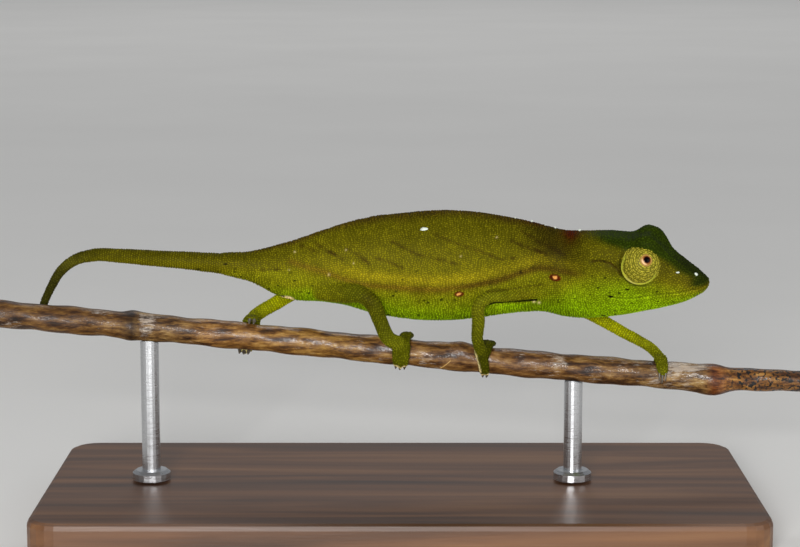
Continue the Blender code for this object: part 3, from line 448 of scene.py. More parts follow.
def straight_body(x, angle, grow=0.0):
    """Points of the straight body's surface; angle 0 is the left flank and 90 degrees the back."""
    back, belly, half_width, widest, upper, lower = girths(x)
    middle = belly + (back - belly) * widest
    c, s = np.cos(angle), np.sin(angle)
    power = np.where(s >= 0, upper, lower)
    height = np.where(s >= 0, back - middle, middle - belly)
    y = (half_width + grow) * np.sign(c) * np.abs(c) ** power
    z = middle + (height + grow) * np.sign(s) * np.abs(s) ** np.minimum(power, 1.0)
    return np.stack([x + 0 * y, y, z], axis=-1)


def straight_flank(x, z, side):
    """Points of the straight body's surface at places x and heights z, on side -1 right or 1 left."""
    back, belly, half_width, widest, upper, lower = girths(x)
    middle = belly + (back - belly) * widest
    height = np.where(z >= middle, back - middle, middle - belly)
    power = np.where(z >= middle, upper, lower)
    share = np.clip(np.abs(z - middle) / height, 0, 1) ** (1 / np.minimum(power, 1.0))
    return np.stack([x + 0 * z, side * half_width * np.sqrt(1 - share**2) ** power, z + 0 * x], axis=-1)


def head_form(p):
    """Raise the brows over the eyes and the jaw muscles behind them."""
    side = np.sign(p[..., 1])
    folded = p * np.stack([np.ones_like(side), np.where(side == 0, 1, side), np.ones_like(side)], axis=-1)
    brow = BROW_HEIGHT * np.exp(-((lengths(folded - BROW_CENTRE) / BROW_SPREAD) ** BROW_FALL))
    cheek = CHEEK_HEIGHT * near(lengths(folded - CHEEK_CENTRE), CHEEK_SPREAD)
    out = unit(np.stack([0 * side, 0.35 * side, np.ones_like(side)], axis=-1))
    moved = p + out * brow[..., None]
    moved[..., 1] += side * cheek
    return moved


def head_turn(share):
    """Rotations of the head at shares of its whole turn."""
    share = np.asarray(share, float)
    turns = []
    for angle, i, j in ((HEAD_YAW, 0, 1), (HEAD_ROLL, 1, 2), (-HEAD_LIFT, 2, 0)):
        turn = np.zeros(share.shape + (3, 3)) + np.eye(3)
        c, s = np.cos(angle * share), np.sin(angle * share)
        turn[..., i, i], turn[..., j, j], turn[..., i, j], turn[..., j, i] = c, c, -s, s
        turns.append(turn)
    return turns[0] @ turns[1] @ turns[2]


def turn_share(x):
    """How much of the head's turn the body has taken at x."""
    return ease((x - TURN_STARTS) / (TURN_ENDS - TURN_STARTS))


HEAD_TURN = head_turn(1.0)


def turn_head(p):
    """Carry points of the straight body to where the turned and rolled head takes them."""
    return HEAD_PIVOT + np.einsum("...ij,...j->...i", head_turn(turn_share(p[..., 0])), p - HEAD_PIVOT)


def straighten(p):
    """Points of the turned head and neck carried back to the straight body."""
    x = p[:, 0].copy()
    for _ in range(14):
        straight = HEAD_PIVOT + np.einsum("nji,nj->ni", head_turn(turn_share(x)), p - HEAD_PIVOT)
        x = 0.4 * x + 0.6 * straight[:, 0]
    return straight


def body_surface(x, angle, grow=0.0):
    """Points of the posed body's surface."""
    return turn_head(head_form(straight_body(x, angle, grow)))


def head_line(line, side, grow=0.0):
    """A line of x and z carried onto one side of the posed head."""
    x, z = np.array(line, float).T
    x, z = smooth_path(np.stack([x, z, 0 * x], axis=1), LINE_POINTS)[:, :2].T
    p = straight_flank(x, z, side)
    p[:, 1] += side * grow
    return turn_head(head_form(p))


def mouth_path():
    """The line of the mouth from one corner round the snout to the other."""
    right = head_line(MOUTH_LINE, -1)
    left = head_line(MOUTH_LINE, 1)[::-1]
    tip = turn_head(np.array([[MOUTH_TIP[0], 0.0, MOUTH_TIP[1]]]))
    return np.concatenate([right, tip, left])


def twig_centre(x):
    """The twig's centre line."""
    xs, zs = zip(*TWIG_LINE)
    return np.stack([x + 0.0, 0.0 * x, smooth_curve(xs, zs, x)], axis=-1)


def twig_radius(x, angle):
    """The twig's radius: it swells at its leaf nodes, thins beyond the front one and has uneven bark."""
    beyond = 1 / (1 + np.exp(-(x - TWIG_NODE_FRONT - 1.6) / 0.7))
    radius = TWIG_RADIUS * (1 - (1 - TWIG_THIN_SHARE) * beyond)
    radius = radius + 0.55 * TWIG_NODE_SWELL * near(x - TWIG_NODE_REAR, 1.1)
    radius = radius + TWIG_NODE_SWELL * (1.0 - 0.6 * np.sin(angle)) * near(x - TWIG_NODE_FRONT, 2.0)
    radius = radius + BARK_DEPTH * (np.sin(0.61 * x + 2 * angle) + 0.6 * np.sin(1.37 * x + 3 * angle + 1.0))
    near_top = np.maximum(np.sin(angle + 0.25), 0.0) ** 3
    return radius + BUD_HEIGHT * near_top * near(x - BUD_X, BUD_WIDTH)


def twig_frame(x):
    """The twig's direction at x and the upward direction square to it."""
    ahead = unit(twig_centre(x + 0.5) - twig_centre(x - 0.5))
    return ahead, np.stack([-ahead[..., 2], 0 * ahead[..., 0], ahead[..., 0]], axis=-1)


def around_twig(x, degrees, out, along=0.0):
    """Points at a distance from the twig's centre line; 0 degrees faces -Y and 90 is the top."""
    x, degrees, out = np.broadcast_arrays(*(np.asarray(v, float) for v in (x, degrees, out)))
    ahead, up = twig_frame(x)
    a = np.radians(degrees)[..., None]
    out = out[..., None]
    return twig_centre(x) + ahead * along + (np.array((0.0, -1.0, 0.0)) * np.cos(a) + up * np.sin(a)) * out


def twig_clear(x, degrees, thickness):
    """How far from the centre line the solid of this half thickness lies."""
    a = np.radians(degrees)
    reach = max(float(twig_radius(x + dx, a + da)) for dx in (-0.6, 0.0, 0.6) for da in (-0.3, 0.0, 0.3))
    return reach + CLEARANCE + thickness


def tail_path():
    """The tail's line from inside the trunk to its tip, as x, y, z and radius."""
    line = [tuple(p) for p in TAIL_LINE]
    for x, degrees, radius in GRIP_LINE:
        line.append((*around_twig(x, degrees, twig_clear(x, degrees, radius) - FOOT_SINK), radius))
    return smooth_path(line, TAIL_POINTS)


def palm_centre(limb):
    """The middle of the sole."""
    out = twig_clear(limb.foot_x, limb.palm_angle, PALM_RADII[1] * limb.foot_size) - FOOT_SINK
    return around_twig(limb.foot_x, limb.palm_angle, out)


def limb_path(limb):
    """The limb's line from inside the body to inside the foot, as x, y, z and radius."""
    root, bend, ankle, palm = (np.array(p) for p in (limb.root, limb.bend, limb.ankle, palm_centre(limb)))
    upper, knee, lower, end = limb.radii[1:]
    line = [
        (*root, limb.radii[0]),
        (*(root + 0.5 * (bend - root)), upper),
        (*(root + 0.93 * (bend - root)), knee),
        (*(bend + 0.10 * (ankle - bend)), knee),
        (*(bend + 0.55 * (ankle - bend)), lower),
        (*ankle, end),
        (*(ankle + 0.8 * (palm - ankle)), end),
    ]
    return smooth_path(line, LIMB_POINTS)


def toe_path(limb, offset, count, index, tip):
    """One toe's line round the twig, and the line of its claw, as x, y, z and radius."""
    across = (index - (count - 1) / 2) * TOE_STEP * limb.foot_size
    way = math.copysign(1.0, tip - limb.palm_angle)
    tip -= way * TIP_ROUND * (index - (count - 1) / 2) ** 2
    toe, claw = [], []
    for share in np.linspace(0.0, 1.0, TOE_POINTS):
        angle = limb.palm_angle + (tip - limb.palm_angle) * share
        radius = limb.foot_size * TOE_RADIUS * (1 + (TOE_TIP_SHARE - 1) * share)
        x = limb.foot_x + offset * share
        out = twig_clear(x, angle, radius) + 0.12 * (1 - share) - FOOT_SINK
        toe.append((*around_twig(x, angle, out, across * (1.0 - MITTEN_TAPER * share)), radius + TOE_FAT))
    for share in (-0.5, -0.1, 0.25, 0.5, 0.75, 0.92, 1.0):
        angle = tip + way * (CLAW_ANGLE * share + 4.0)
        radius = limb.foot_size * (CLAW_RADIUS + (CLAW_TIP_RADIUS - CLAW_RADIUS) * max(share, 0.0))
        x = limb.foot_x + offset
        out = twig_clear(x, angle, radius) + 0.1 * (1 - share) + CLAW_LIFT * max(share, 0.0) - FOOT_SINK
        claw.append((*around_twig(x, angle, out, across * (1.0 - MITTEN_TAPER)), radius))
    return np.array(toe), np.array(claw)


def toe_paths(limb, bundles):
    """The lines of every toe and claw of some of a foot's bundles."""
    return [toe_path(limb, offset, count, index, tip)
            for count, offset, tip in bundles for index in range(count)]


def sleeve(rings):
    """A closed bmesh over rings of points: a flat grid rolled up until its last column meets its first."""
    rings = np.asarray(rings, float)
    bm = bmesh.new()
    bmesh.ops.create_grid(bm, x_segments=rings.shape[1], y_segments=rings.shape[0] - 1, size=1.0)
    places = np.concatenate([rings, rings[:, :1]], axis=1).reshape(-1, 3)
    for vertex, place in zip(bm.verts, places, strict=True):
        vertex.co = place
    bmesh.ops.remove_doubles(bm, verts=bm.verts, dist=1e-5)
    bmesh.ops.holes_fill(bm, edges=bm.edges, sides=0)
    bmesh.ops.recalc_face_normals(bm, faces=bm.faces)
    return bm


def path_frames(path):
    """Directions along a line and two directions square to it that turn as little as they can."""
    centres = path[:, :3]
    ahead = unit(np.gradient(centres, axis=0))
    sides = []
    guide = np.cross((0.0, 0.0, 1.0), ahead[0])
    if np.linalg.norm(guide) < 0.1:
        guide = np.array((0.0, 1.0, 0.0))
    for direction in ahead:
        guide = unit(guide - (guide @ direction) * direction)
        sides.append(guide)
    side = np.array(sides)
    return ahead, side, np.cross(ahead, side)


def tube_rings(path, sides, grow=0.0):
    """Rings of points round a line of x, y, z and radius."""
    _, side, up = path_frames(path)
    angle = round_angles(sides)
    out = side[:, None] * np.cos(angle)[:, None] + up[:, None] * np.sin(angle)[:, None]
    return path[:, None, :3] + out * (path[:, 3] + grow)[:, None, None]


def new_object(name, data):
    """An object in the scene."""
    made = bpy.data.objects.new(name, data)
    bpy.context.scene.collection.objects.link(made)
    return made


def mesh_of(name, bm):
    """A mesh in metres from a bmesh in millimetres."""
    bm.transform(Matrix.Scale(MM, 4))
    mesh = bpy.data.meshes.new(name)
    bm.to_mesh(mesh)
    bm.free()
    mesh.shade_smooth()
    return mesh


def place(mesh, finish, slot, nodes=()):
    """Put a finished mesh in the scene under its own name, as a piece that rides on the body."""
    mesh.materials.append(finish)
    piece = new_object(mesh.name, mesh)
    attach(piece, "root")
    if nodes:
        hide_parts(*nodes)


def gathered(parts):
    """Several bmeshes as one."""
    whole = bmesh.new()
    for part in parts:
        scratch = bpy.data.meshes.new("scratch")
        part.to_mesh(scratch)
        part.free()
        whole.from_mesh(scratch)
        bpy.data.meshes.remove(scratch)
    return whole


def remeshed(bm, size):
    """The outer surface of overlapping closed forms, as one closed mesh with faces of an even size."""
    mesh = bpy.data.meshes.new("scratch")
    bm.to_mesh(mesh)
    bm.free()
    helper = new_object("scratch", mesh)
    step = helper.modifiers.new("merge", "REMESH")
    step.mode = "VOXEL"
    step.voxel_size = size
    graph = bpy.context.evaluated_depsgraph_get()
    graph.update()
    merged = bpy.data.meshes.new_from_object(helper.evaluated_get(graph))
    bpy.data.objects.remove(helper, do_unlink=True)
    bpy.data.meshes.remove(mesh)
    out = bmesh.new()
    out.from_mesh(merged)
    bpy.data.meshes.remove(merged)
    return out


def coordinates(mesh):
    """The vertices' places in millimetres, as an array."""
    values = np.zeros(len(mesh.vertices) * 3, np.float32)
    mesh.vertices.foreach_get("co", values)
    return values.reshape(-1, 3).astype(float) / MM


def write_colour(mesh, name, channels):
    """Store up to four shares per vertex as one colour attribute."""
    values = np.zeros((len(mesh.vertices), 4), np.float32)
    for i, channel in enumerate(channels):
        values[:, i] = channel
    mesh.color_attributes.new(name, "FLOAT_COLOR", "POINT").data.foreach_set("color", values.ravel())


def foot_forms(limb):
    """The palm and the toes of one foot."""
    ahead, _ = twig_frame(np.array(limb.foot_x))
    out = unit(around_twig(limb.foot_x, limb.palm_angle, 1.0) - twig_centre(np.array(limb.foot_x)))
    basis = Matrix(np.stack([ahead, out, np.cross(ahead, out)], axis=1)).to_4x4()
    size = [radius * limb.foot_size for radius in PALM_RADII]
    bm = bmesh.new()
    bmesh.ops.create_icosphere(bm, subdivisions=3, radius=1.0)
    bm.transform(Matrix.Translation(palm_centre(limb)) @ basis @ Matrix.Diagonal((*size, 1.0)))
    return [bm, *(sleeve(tube_rings(toe, TOE_SIDES)) for toe, _ in toe_paths(limb, limb.bundles))]


def flesh_forms():
    """The closed forms that merge into the skin, by name."""
    x = np.concatenate([np.arange(BODY[0, 0], 41.0, SLICE), np.linspace(41.0, BODY[-1, 0], 5)])
    angle = (np.arange(TRUNK_SIDES) + 0.5) * 2 * math.pi / TRUNK_SIDES
    forms = {"trunk": sleeve(body_surface(x[:, None], angle[None, :], -SKIN_DEPTH))}
    forms["tail"] = sleeve(tube_rings(tail_path(), TUBE_SIDES, -TAIL_DEPTH))
    for limb in LIMBS:
        forms[limb.name] = sleeve(tube_rings(limb_path(limb), TUBE_SIDES, -LIMB_DEPTH))
        forms[limb.name + "_foot"] = gathered(foot_forms(limb))
    return forms


@functools.cache
def flesh_trees():
    """Search trees of the flesh's forms, by name."""
    trees = {}
    for name, bm in flesh_forms().items():
        trees[name] = BVHTree.FromBMesh(bm)
        bm.free()
    return trees


def distances(points):
    """How far each point lies from the surface of each form of the flesh."""
    return {name: np.array([tree.find_nearest(Vector(p))[3] for p in points])
            for name, tree in flesh_trees().items()}


def nearest_forms(far):
    """The distances from the trunk or the tail, from the nearest limb and from the nearest foot."""
    limb = np.min([far[limb.name] for limb in LIMBS], axis=0)
    foot = np.min([far[limb.name + "_foot"] for limb in LIMBS], axis=0)
    return np.minimum(far["trunk"], far["tail"]), limb, foot


def relax(bm, verts, rounds):
    """Smooth some vertices."""
    for _ in range(rounds):
        bmesh.ops.smooth_vert(bm, verts=verts, factor=0.5, use_axis_x=True, use_axis_y=True, use_axis_z=True)


def gaze_frame(side):
    """The turret's centre on the posed head, and three axes of which the last looks along the gaze."""
    forward, up = (math.radians(angle) for angle in GAZES[side])
    aim = Vector((math.sin(forward) * math.cos(up), side * math.cos(forward) * math.cos(up), math.sin(up)))
    centre = HEAD_PIVOT + HEAD_TURN @ (TURRET_CENTRE * (1, side, 1) - HEAD_PIVOT)
    return centre, HEAD_TURN @ np.array(aim.to_track_quat("Z", "X").to_matrix())


def sculpt(points, spread):
    """How far each vertex of the skin moves along its normal, for folds, lips, nostrils and ridges."""
    straight = straighten(points)
    rise = np.zeros(len(points))
    head = np.nonzero(straight[:, 0] > HEAD_STARTS - 4)[0]
    p = points[head]
    mouth = from_line(p, mouth_path())
    tip = 1 - 0.75 * ease((straight[head, 0] - 40.4) / 1.0)
    move = (-0.12 * near(mouth, 0.15) + 0.06 * near(mouth - 0.36, 0.2)) * tip
    for side in (-1, 1):
        move += 0.12 * near(from_line(p, head_line(CANTHUS, side)), 0.34)
        nostril = turn_head(head_form(straight_flank(*np.array(NOSTRIL)[:, None], side)))[0]
        away = lengths(p - nostril)
        move += -0.34 * near(away, 0.2) + 0.07 * near(away - 0.36, 0.16)
        centre, _ = gaze_frame(side)
        ring = lengths(p - centre) - TURRET_RADIUS
        below = ease(unit(p - centre) @ (HEAD_TURN @ np.array(EYE_SHADE)) + 0.15)
        move += -(0.08 + 0.22 * below) * near(ring - 0.1, 0.26)
        move += (0.06 + 0.12 * below) * near(ring - 0.6, 0.35)
        move += -0.10 * near(from_line(p, head_line(JAW_FOLD, side)), 0.22)
        move += -0.20 * near(from_line(p, head_line(TEMPLE_LINE, side)), 0.22)
    rise[head] = move
    slit = near(from_line(straight[:, (0, 2)], ARM_GAP), 0.2) * (points[:, 1] < -1.0) * (points[:, 1] > -3.6)
    rise += -0.22 * slit
    for limb in LIMBS[:2]:
        wrinkles = np.sin(points @ np.array((2.0, 0.4, 2.6)) * 2.2)
        rise += 0.05 * wrinkles * near(lengths(points - np.array(limb.bend)), 1.3)
    return rise + 0.035 * wander(points, 1.7) * spread


def strengthen(m, word, share):
    """Raise a marking's share where another share is higher."""
    m[word] = np.maximum(m.get(word, 0.0), share)


def paint(points):
    """The animal's markings at points of its skin, as shares from 0 to 1, by name."""
    far = distances(points)
    shared, limb_far, foot_far = nearest_forms(far)
    straight = straighten(points)
    x, y, z = straight.T
    flat, posed, near_side = straight[:, (0, 2)], points[:, (0, 2)], points[:, 1]
    back, belly = girths(np.clip(x, BODY[0, 0], BODY[-1, 0]))[:2]
    level = np.clip((z - belly) / (back - belly), -0.1, 1.1)
    foot = ease(0.45 + (np.minimum(shared, limb_far) - foot_far) / 0.7)
    limb = np.maximum(ease(0.5 + (shared - limb_far) / 0.9), foot)
    trunk = 1 - limb
    soft, fine, coarse = wander(points, 2.6, 7.0), wander(points, 0.75, 3.0), wander(points, 6.0, 11.0)
    head = ease((x - 23.0) / 4.0)
    body = trunk * (1 - head)
    share, which = limb_share(points)
    m = {"limb": limb * ease((share - 0.10) / 0.30), "foot": foot * np.where(which < 2, 1.0, 0.3)}

    # Green below, lime on throat and belly, dark crown and snout, brown lore and back.
    fade = 1.3 + 1.4 * head - 1.7 * ease((x - 31.0) / 2.0)
    m["green"] = ease((line_height(GREEN_TOP, x) + 0.5 * soft - z) / fade + 0.5) * trunk
    strengthen(m, "green", (1 - trunk) * (x < 0) * (1 - m["limb"]))
    lime = ease((line_height(LIME_LEVEL, x) - level + 0.05 * soft) / (0.36 + 0.26 * head) + 0.5)
    # The chest under the right arm is lime, partly its own colour and partly painted light against the arm's
    # shadow.
    chest = ease((30.3 - z) / 0.5) * near(x - 15.5, 4.0)
    m["lime"] = np.maximum(lime * ease((x + 20.0) / 9.0), chest) * trunk
    crown = ease((z - line_height(CROWN_EDGE, x) + 0.3 * soft) / 1.1 + 0.5)
    m["crown"] = crown * ease((x - 21.0) / 8.0) * trunk
    strengthen(m, "crown", 0.9 * ease((x - 39.2) / 1.5) * ease((z - 32.4) / 0.7) * trunk)
    # The top of the snout is darker still: partly its own colour, partly painted shade on its roof.
    m["snout"] = ease((x - 36.5) / 2.2) * m["crown"]
    lip = near(from_line(flat, np.array(MOUTH_LINE) + LIP_RISE), 0.45) * ease((40.5 - x) / 4.0) * trunk
    strengthen(m, "green", 0.85 * lip)
    m["lore"] = near(from_line(flat, LORE_LINE), 1.6) * (1 - m["crown"]) * trunk * (1 - 0.85 * lip)
    m["back"] = ease((level - 0.90 + 0.03 * soft) / 0.10) * (1 - head) * trunk

    # The tail, the limbs' inner sides and the brown of neck and knee.
    on_tail = ease((far["trunk"] - far["tail"]) / 0.8 + 0.5) * (1 - limb)
    m["tail"] = np.maximum(on_tail, ease((-16.0 - x) / 9.0) * ease((level - 0.1) / 0.5)) * trunk
    m["tail_end"] = on_tail * ease((tail_share(points) - 0.32 + 0.04 * soft) / 0.3)
    m["inner"] = limb * ease(y / 1.0) * (1 - 0.65 * ease((share - 0.62 + 0.1 * soft) / 0.3))
    m["neck"] = near(x - 20.6, 3.8) * ease((level - 0.42) / 0.3) * trunk
    strengthen(m, "neck", 0.55 * near(lengths((points - KNEE_PATCH) * (1.0, 0.5, 0.6)), 0.95 + 0.2 * soft))

    # The side stripe with the band over it, the slanting streaks, and painted shade along the folds at the
    # temple and over the right arm.
    stripe = near(from_line(flat, STRIPE), 0.42 + 0.12 * fine)
    m["stripe"] = stripe * body * (0.62 + 0.38 * near(x - 4.0, 16.0))
    width = 0.22 + 0.08 * fine
    streak = np.max([near(from_line(flat, line), width) for line in (*STREAKS, REAR_LINE)], axis=0)
    m["streak"] = np.maximum(streak * (0.6 + 0.7 * fine), 0.75 * m["stripe"] * ease((x - 7.0) / 3.0)) * body
    # Painted shade in the temple's crease.
    strengthen(m, "streak", 0.95 * near(from_line(flat, TEMPLE_LINE), 0.14) * trunk)
    # A painted shadow line where the right arm folds from the flank.
    strengthen(m, "streak", 0.6 * near(from_line(posed, ARM_TOP), 0.12) * (near_side < -1.5))
    band = near(from_line(flat, np.array(STRIPE) + BAND_RISE), 0.75) * body
    m["band"] = band * ease((x + 12.0) / 8.0) * (1 - 0.5 * ease((x - 8.0) / 5.0))

    # Rust on nape and shoulders, and the pale places at vent, toes, hand and chin.
    nape = near(lengths((straight - NAPE_SPOT) * (0.9, 0.65, 0.6)), 1.1 + 0.3 * fine)
    saddle = 0.6 * near(lengths((straight - SADDLE_SPOT) * (0.42, 0.9, 1.2)), 0.9)
    m["rust"] = np.maximum(nape, saddle) * trunk
    m["pale"] = 1 - ease((lengths((points - VENT_PATCH) * (0.62, 0.35, 1.2)) - 0.45) / 0.3)
    strengthen(m, "pale", foot * toe_rims(points))
    strengthen(m, "pale", 0.6 * foot * near(lengths(posed - FAR_TOES), 0.9))
    strengthen(m, "pale", 0.9 * foot * (near(from_line(posed, HAND_EDGE), 0.09) * (near_side < -1.0)))
    strengthen(m, "pale", 0.26 * near(from_line(flat, CHIN_LINE), 0.30) * trunk)
    scattered = wander(points, 0.62, 29.0) * (1 - 0.5 * m["crown"])
    m["fleck_and_shade"] = ease((scattered - 0.56) / 0.1) * ease((0.75 - level) / 0.4) * trunk * 0.85

    # Lighter and darker places: flank, neck, chest, belly, rear back, tail, axilla, crown, temple and lip.
    # The light middle of the flank, its darker top and the darker underside are partly painted light and
    # shade, and the lighter chest is painted light against the right arm's shadow.
    back_end = 0.3 * near(x + 10.0, 4.0) * ease((level - 0.7) / 0.15)
    temple_top = near(x - 25.5, 2.5) * ease((level - 0.6) / 0.2) * trunk
    m["tone"] = (0.5 + 0.16 * coarse + 0.14 * soft
                 # lighter along the middle of the flank and darker over its top: partly the skin's own
                 # colour, partly painted light and shade
                 + (0.34 * near(level - 0.48, 0.2) - 0.24 * ease((level - 0.66) / 0.2)) * body
                 - 0.42 * near(x - 21.3, 3.4) * trunk
                 # painted light on the chest under the right arm, where the arm casts its shadow
                 + 0.1 * near(x - 15.2, 3.2) * near(z - 28.9, 0.9) * trunk
                 # darker along the underside: partly painted shade
                 - 0.38 * ease((0.17 - level) / 0.15) * body
                 + (back_end + 0.2 * on_tail * (1 - m["tail_end"])) * trunk
                 - 0.24 * near(x - 14.5, 4.0) * near(level - 0.36, 0.16) * body
                 + 0.25 * ease((z - 39.4) / 0.8) * ease((x - 32.0) / 2.0) * trunk
                 - 0.2 * (temple_top + lip))
    for number, line in enumerate(LIMB_TONES):
        m["tone"] += line_height(line, share) * limb * (which == number)
    # Painted shade in the groove round the lower back of each turret.
    for side in (-1, 1):
        centre, _ = gaze_frame(side)
        below = ease(unit(points - centre) @ (HEAD_TURN @ np.array(GROOVE_SHADE)) + 0.2)
        strengthen(m, "fleck_and_shade", 0.8 * (below * near(lengths(points - centre) - TURRET_RADIUS - 0.30, 0.15)))

    # Where the scales are smooth, so that the painted light and shade of their relief is weaker, and how much
    # they differ from one another.
    temple = near(lengths((flat - TEMPLE_SPOT) * (0.45, 1.0)), 1.4)
    m["smooth"] = head * trunk * (1 - m["lore"]) * (1 - temple)
    m["spread"] = (0.16 + 0.08 * (m["lore"] + temple) * trunk) * (1 - 0.5 * m["smooth"]) * (1 - 0.7 * foot)
    return m


def small_marks(straight, posed_y):
    """Marks that may be smaller than a scale, at places of the straight body, as shares by name."""
    flat = straight[:, (0, 2)]
    other_side = 9.0 * (posed_y > 0)  # pushes the right side's marks off the left side
    marks = {}
    ragged = wander(straight, 0.35, 5.0)
    for x, z, radius in FLANK_SPOTS:
        away = lengths((flat - (x, z)) * (0.66, 1.20)) + other_side
        strengthen(marks, "rust", 1 - ease((away + 0.05 * ragged - 0.86 * radius) / (0.30 * radius)))
        strengthen(marks, "amber", 1 - ease((away + 0.16 * ragged - 0.22 * radius) / (0.26 * radius)))
    for x, z, radius in BLACK_FLECKS:
        away = lengths((flat - (x, z)) * (0.6, 1.2))
        strengthen(marks, "fleck_and_shade", 1 - ease((away - 0.55 * radius) / (0.6 * radius)))
    for x, z, radius in PALE_DOTS:
        strengthen(marks, "pale", 0.7 * near(lengths(flat - (x, z)) + other_side, 0.7 * radius))
    # Painted shade along the slit under the right arm.
    strengthen(marks, "fleck_and_shade", (1 - ease((from_line(flat, ARM_GAP) - 0.13) / 0.08)) * (posed_y < 0))
    # Painted shade along the groove of the mouth.
    strengthen(marks, "fleck_and_shade", 0.32 * near(from_line(flat, (*MOUTH_LINE, MOUTH_TIP)), 0.10))
    return marks


def toe_rims(points):
    """The pale edge at the tips of the near feet's front toes."""
    rim = np.zeros(len(points))
    for limb in LIMBS[:2]:
        for toe, _ in toe_paths(limb, limb.bundles[:1]):
            end, before = toe[[-1, -2], :3]
            rim = np.maximum(rim, 1 - ease((lengths(points - end - 0.10 * unit(end - before)) - 0.56) / 0.12))
    return rim


def limb_share(points):
    """How far along its nearest limb each point lies, from 0 at the root to 1 at the sole, and that limb."""
    best, share, which = np.full(len(points), np.inf), np.zeros(len(points)), np.zeros(len(points), int)
    for number, limb in enumerate(LIMBS):
        path = limb_path(limb)[::2, :3]
        gaps = lengths(points[:, None] - path[None])
        closer = gaps.min(axis=1) < best
        best = np.minimum(best, gaps.min(axis=1))
        share = np.where(closer, gaps.argmin(axis=1) / (len(path) - 1), share)
        which = np.where(closer, number, which)
    return share, which


def tail_share(points):
    """How far along the tail each point is, from 0 at its root to 1 at its tip."""
    path = tail_path()[::3, :3]
    return lengths(points[:, None] - path[None]).argmin(axis=1) / (len(path) - 1)


def add_marks(m, straight, posed_y):
    """Add the small marks to the markings."""
    trunk = 1 - np.maximum(m["limb"], m["foot"])
    for word, share in small_marks(straight, posed_y).items():
        strengthen(m, word, share * trunk)


def store_paint(mesh, m, tone, top):
    """Write the markings to the mesh as colour attributes."""
    shares = {**m, "tone": tone, "top": top}
    for layer, words in PAINT_LAYERS.items():
        write_colour(mesh, layer, [shares[word] for word in words])


def build_skin():
    """One skin over head, trunk, tail, limbs and feet."""
    bm = remeshed(gathered(list(flesh_forms().values())), VOXEL)
    relax(bm, bm.verts, 2)
    bm.verts.ensure_lookup_table()
    far = distances(np.array([v.co for v in bm.verts]))
    _, limb, foot = nearest_forms(far)
    join = (np.abs(far["trunk"] - limb) < JOIN_GAP) & (far["trunk"] < JOIN_REACH) & (limb < JOIN_REACH)
    relax(bm, [v for v, chosen in zip(bm.verts, join) if chosen], 8)
    relax(bm, bm.verts, 1)
    bm.normal_update()
    points, normals = (np.array(values) for values in zip(*((v.co, v.normal) for v in bm.verts)))
    moved = points + normals * sculpt(points, ease((foot - 0.1) / 0.8))[:, None]
    for vertex, spot in zip(bm.verts, moved):
        vertex.co = spot
    mesh = mesh_of("skin", bm)
    m = paint(moved)
    add_marks(m, straighten(moved), moved[:, 1])
    # The skin between the scales gets the bottom of the scales' painted relief: painted shade in the gaps.
    store_paint(mesh, m, m["tone"], 0.0)
    place(mesh, hide_material("Scaly skin between the scales"), "skin", SKIN_NODES)


def skin_tree():
    """A search tree of the finished skin, in millimetres."""
    skin = bpy.data.objects["skin"].data
    return BVHTree.FromPolygons([tuple(v) for v in coordinates(skin)],
                                [tuple(p.vertices) for p in skin.polygons])


class Roots(NamedTuple):
    """Where scales grow: places, how they lie, half sizes along and across, spots on the map and groups."""

    at: np.ndarray
    lie: np.ndarray
    size: np.ndarray
    spot: np.ndarray
    kind: np.ndarray


def ring_places(i, count, rng):
    """Places of a ring's scales, set between those of the ring before, from 0 to the count."""
    return np.arange(count) + 0.5 * (i % 2) + rng.uniform(-ROW_WANDER, ROW_WANDER, count)


def trunk_roots(settings, rng):
    """Rings of scales round the trunk, in rows that wander a little."""
    rings = []
    fine = np.linspace(-math.pi / 2, 1.5 * math.pi, 400)
    for i, x in enumerate(np.arange(-23.6, HEAD_STARTS + 1.5, settings.row)):
        arc = run_along(body_surface(x, fine, -SKIN_DEPTH))
        count = max(8, round(arc[-1] / settings.around))
        places = ring_places(i, count, rng) * arc[-1] / count
        angle = np.interp(places % arc[-1], arc, fine)
        bend = np.stack([np.full(count, x), places, 0 * places], axis=1)
        wave = 0.55 * wander(bend, 2.4, 3.0) + 0.16 * wander(bend, 0.8, 8.0) + rng.normal(0, 0.05, count)
        here = body_surface(x + wave, angle, -SKIN_DEPTH)
        ahead = unit(body_surface(x + wave + 0.1, angle, -SKIN_DEPTH) - here)
        low = np.sin(angle) < 0.05
        size = np.where(low[:, None], (0.43, 0.53), (0.47, 0.48)) * (settings.row, settings.around)
        spot = np.stack([0 * angle + (x + 24.5) / 52.0, turn_part(angle) * 0.98 + MAP_EDGE], axis=1)
        rings.append((here, ahead, size, spot, np.where(np.cos(angle) < 0, RIGHT, LEFT)))
    return Roots(*joined(*zip(*rings)))


def path_roots(path, around, depth, rng, low, high, kind, slant=0.0):
    """Rings of scales round a tube, mapped to a band of the square between low and high."""
    length = run_along(path)
    ahead, side, up = path_frames(path)
    rings = []
    for i, place_along in enumerate(np.arange(0.3, length[-1] - 0.05, ROW_SPACING)):
        centre, a, s, u = (np.stack([np.interp(place_along, length, v[:, j]) for j in range(3)])
                           for v in (path[:, :3], ahead, side, up))
        radius = np.interp(place_along, length, path[:, 3]) - depth
        count = max(5, round(2 * math.pi * radius / around))
        angle = ring_places(i, count, rng) * 2 * math.pi / count
        out = s * np.cos(angle)[:, None] + u * np.sin(angle)[:, None]
        shift = rng.normal(0, 0.03, count) + slant * np.sin(angle)
        spot = np.stack([0 * angle + MAP_EDGE + 0.98 * place_along / length[-1],
                         low + (high - low) * turn_part(angle)], axis=1)
        rings.append((centre + out * radius + a * shift[:, None], np.repeat(a[None], count, axis=0),
                      np.repeat([[0.45 * ROW_SPACING, 0.47 * around]], count, axis=0), spot,
                      np.full(count, kind)))
    return Roots(*joined(*zip(*rings)))


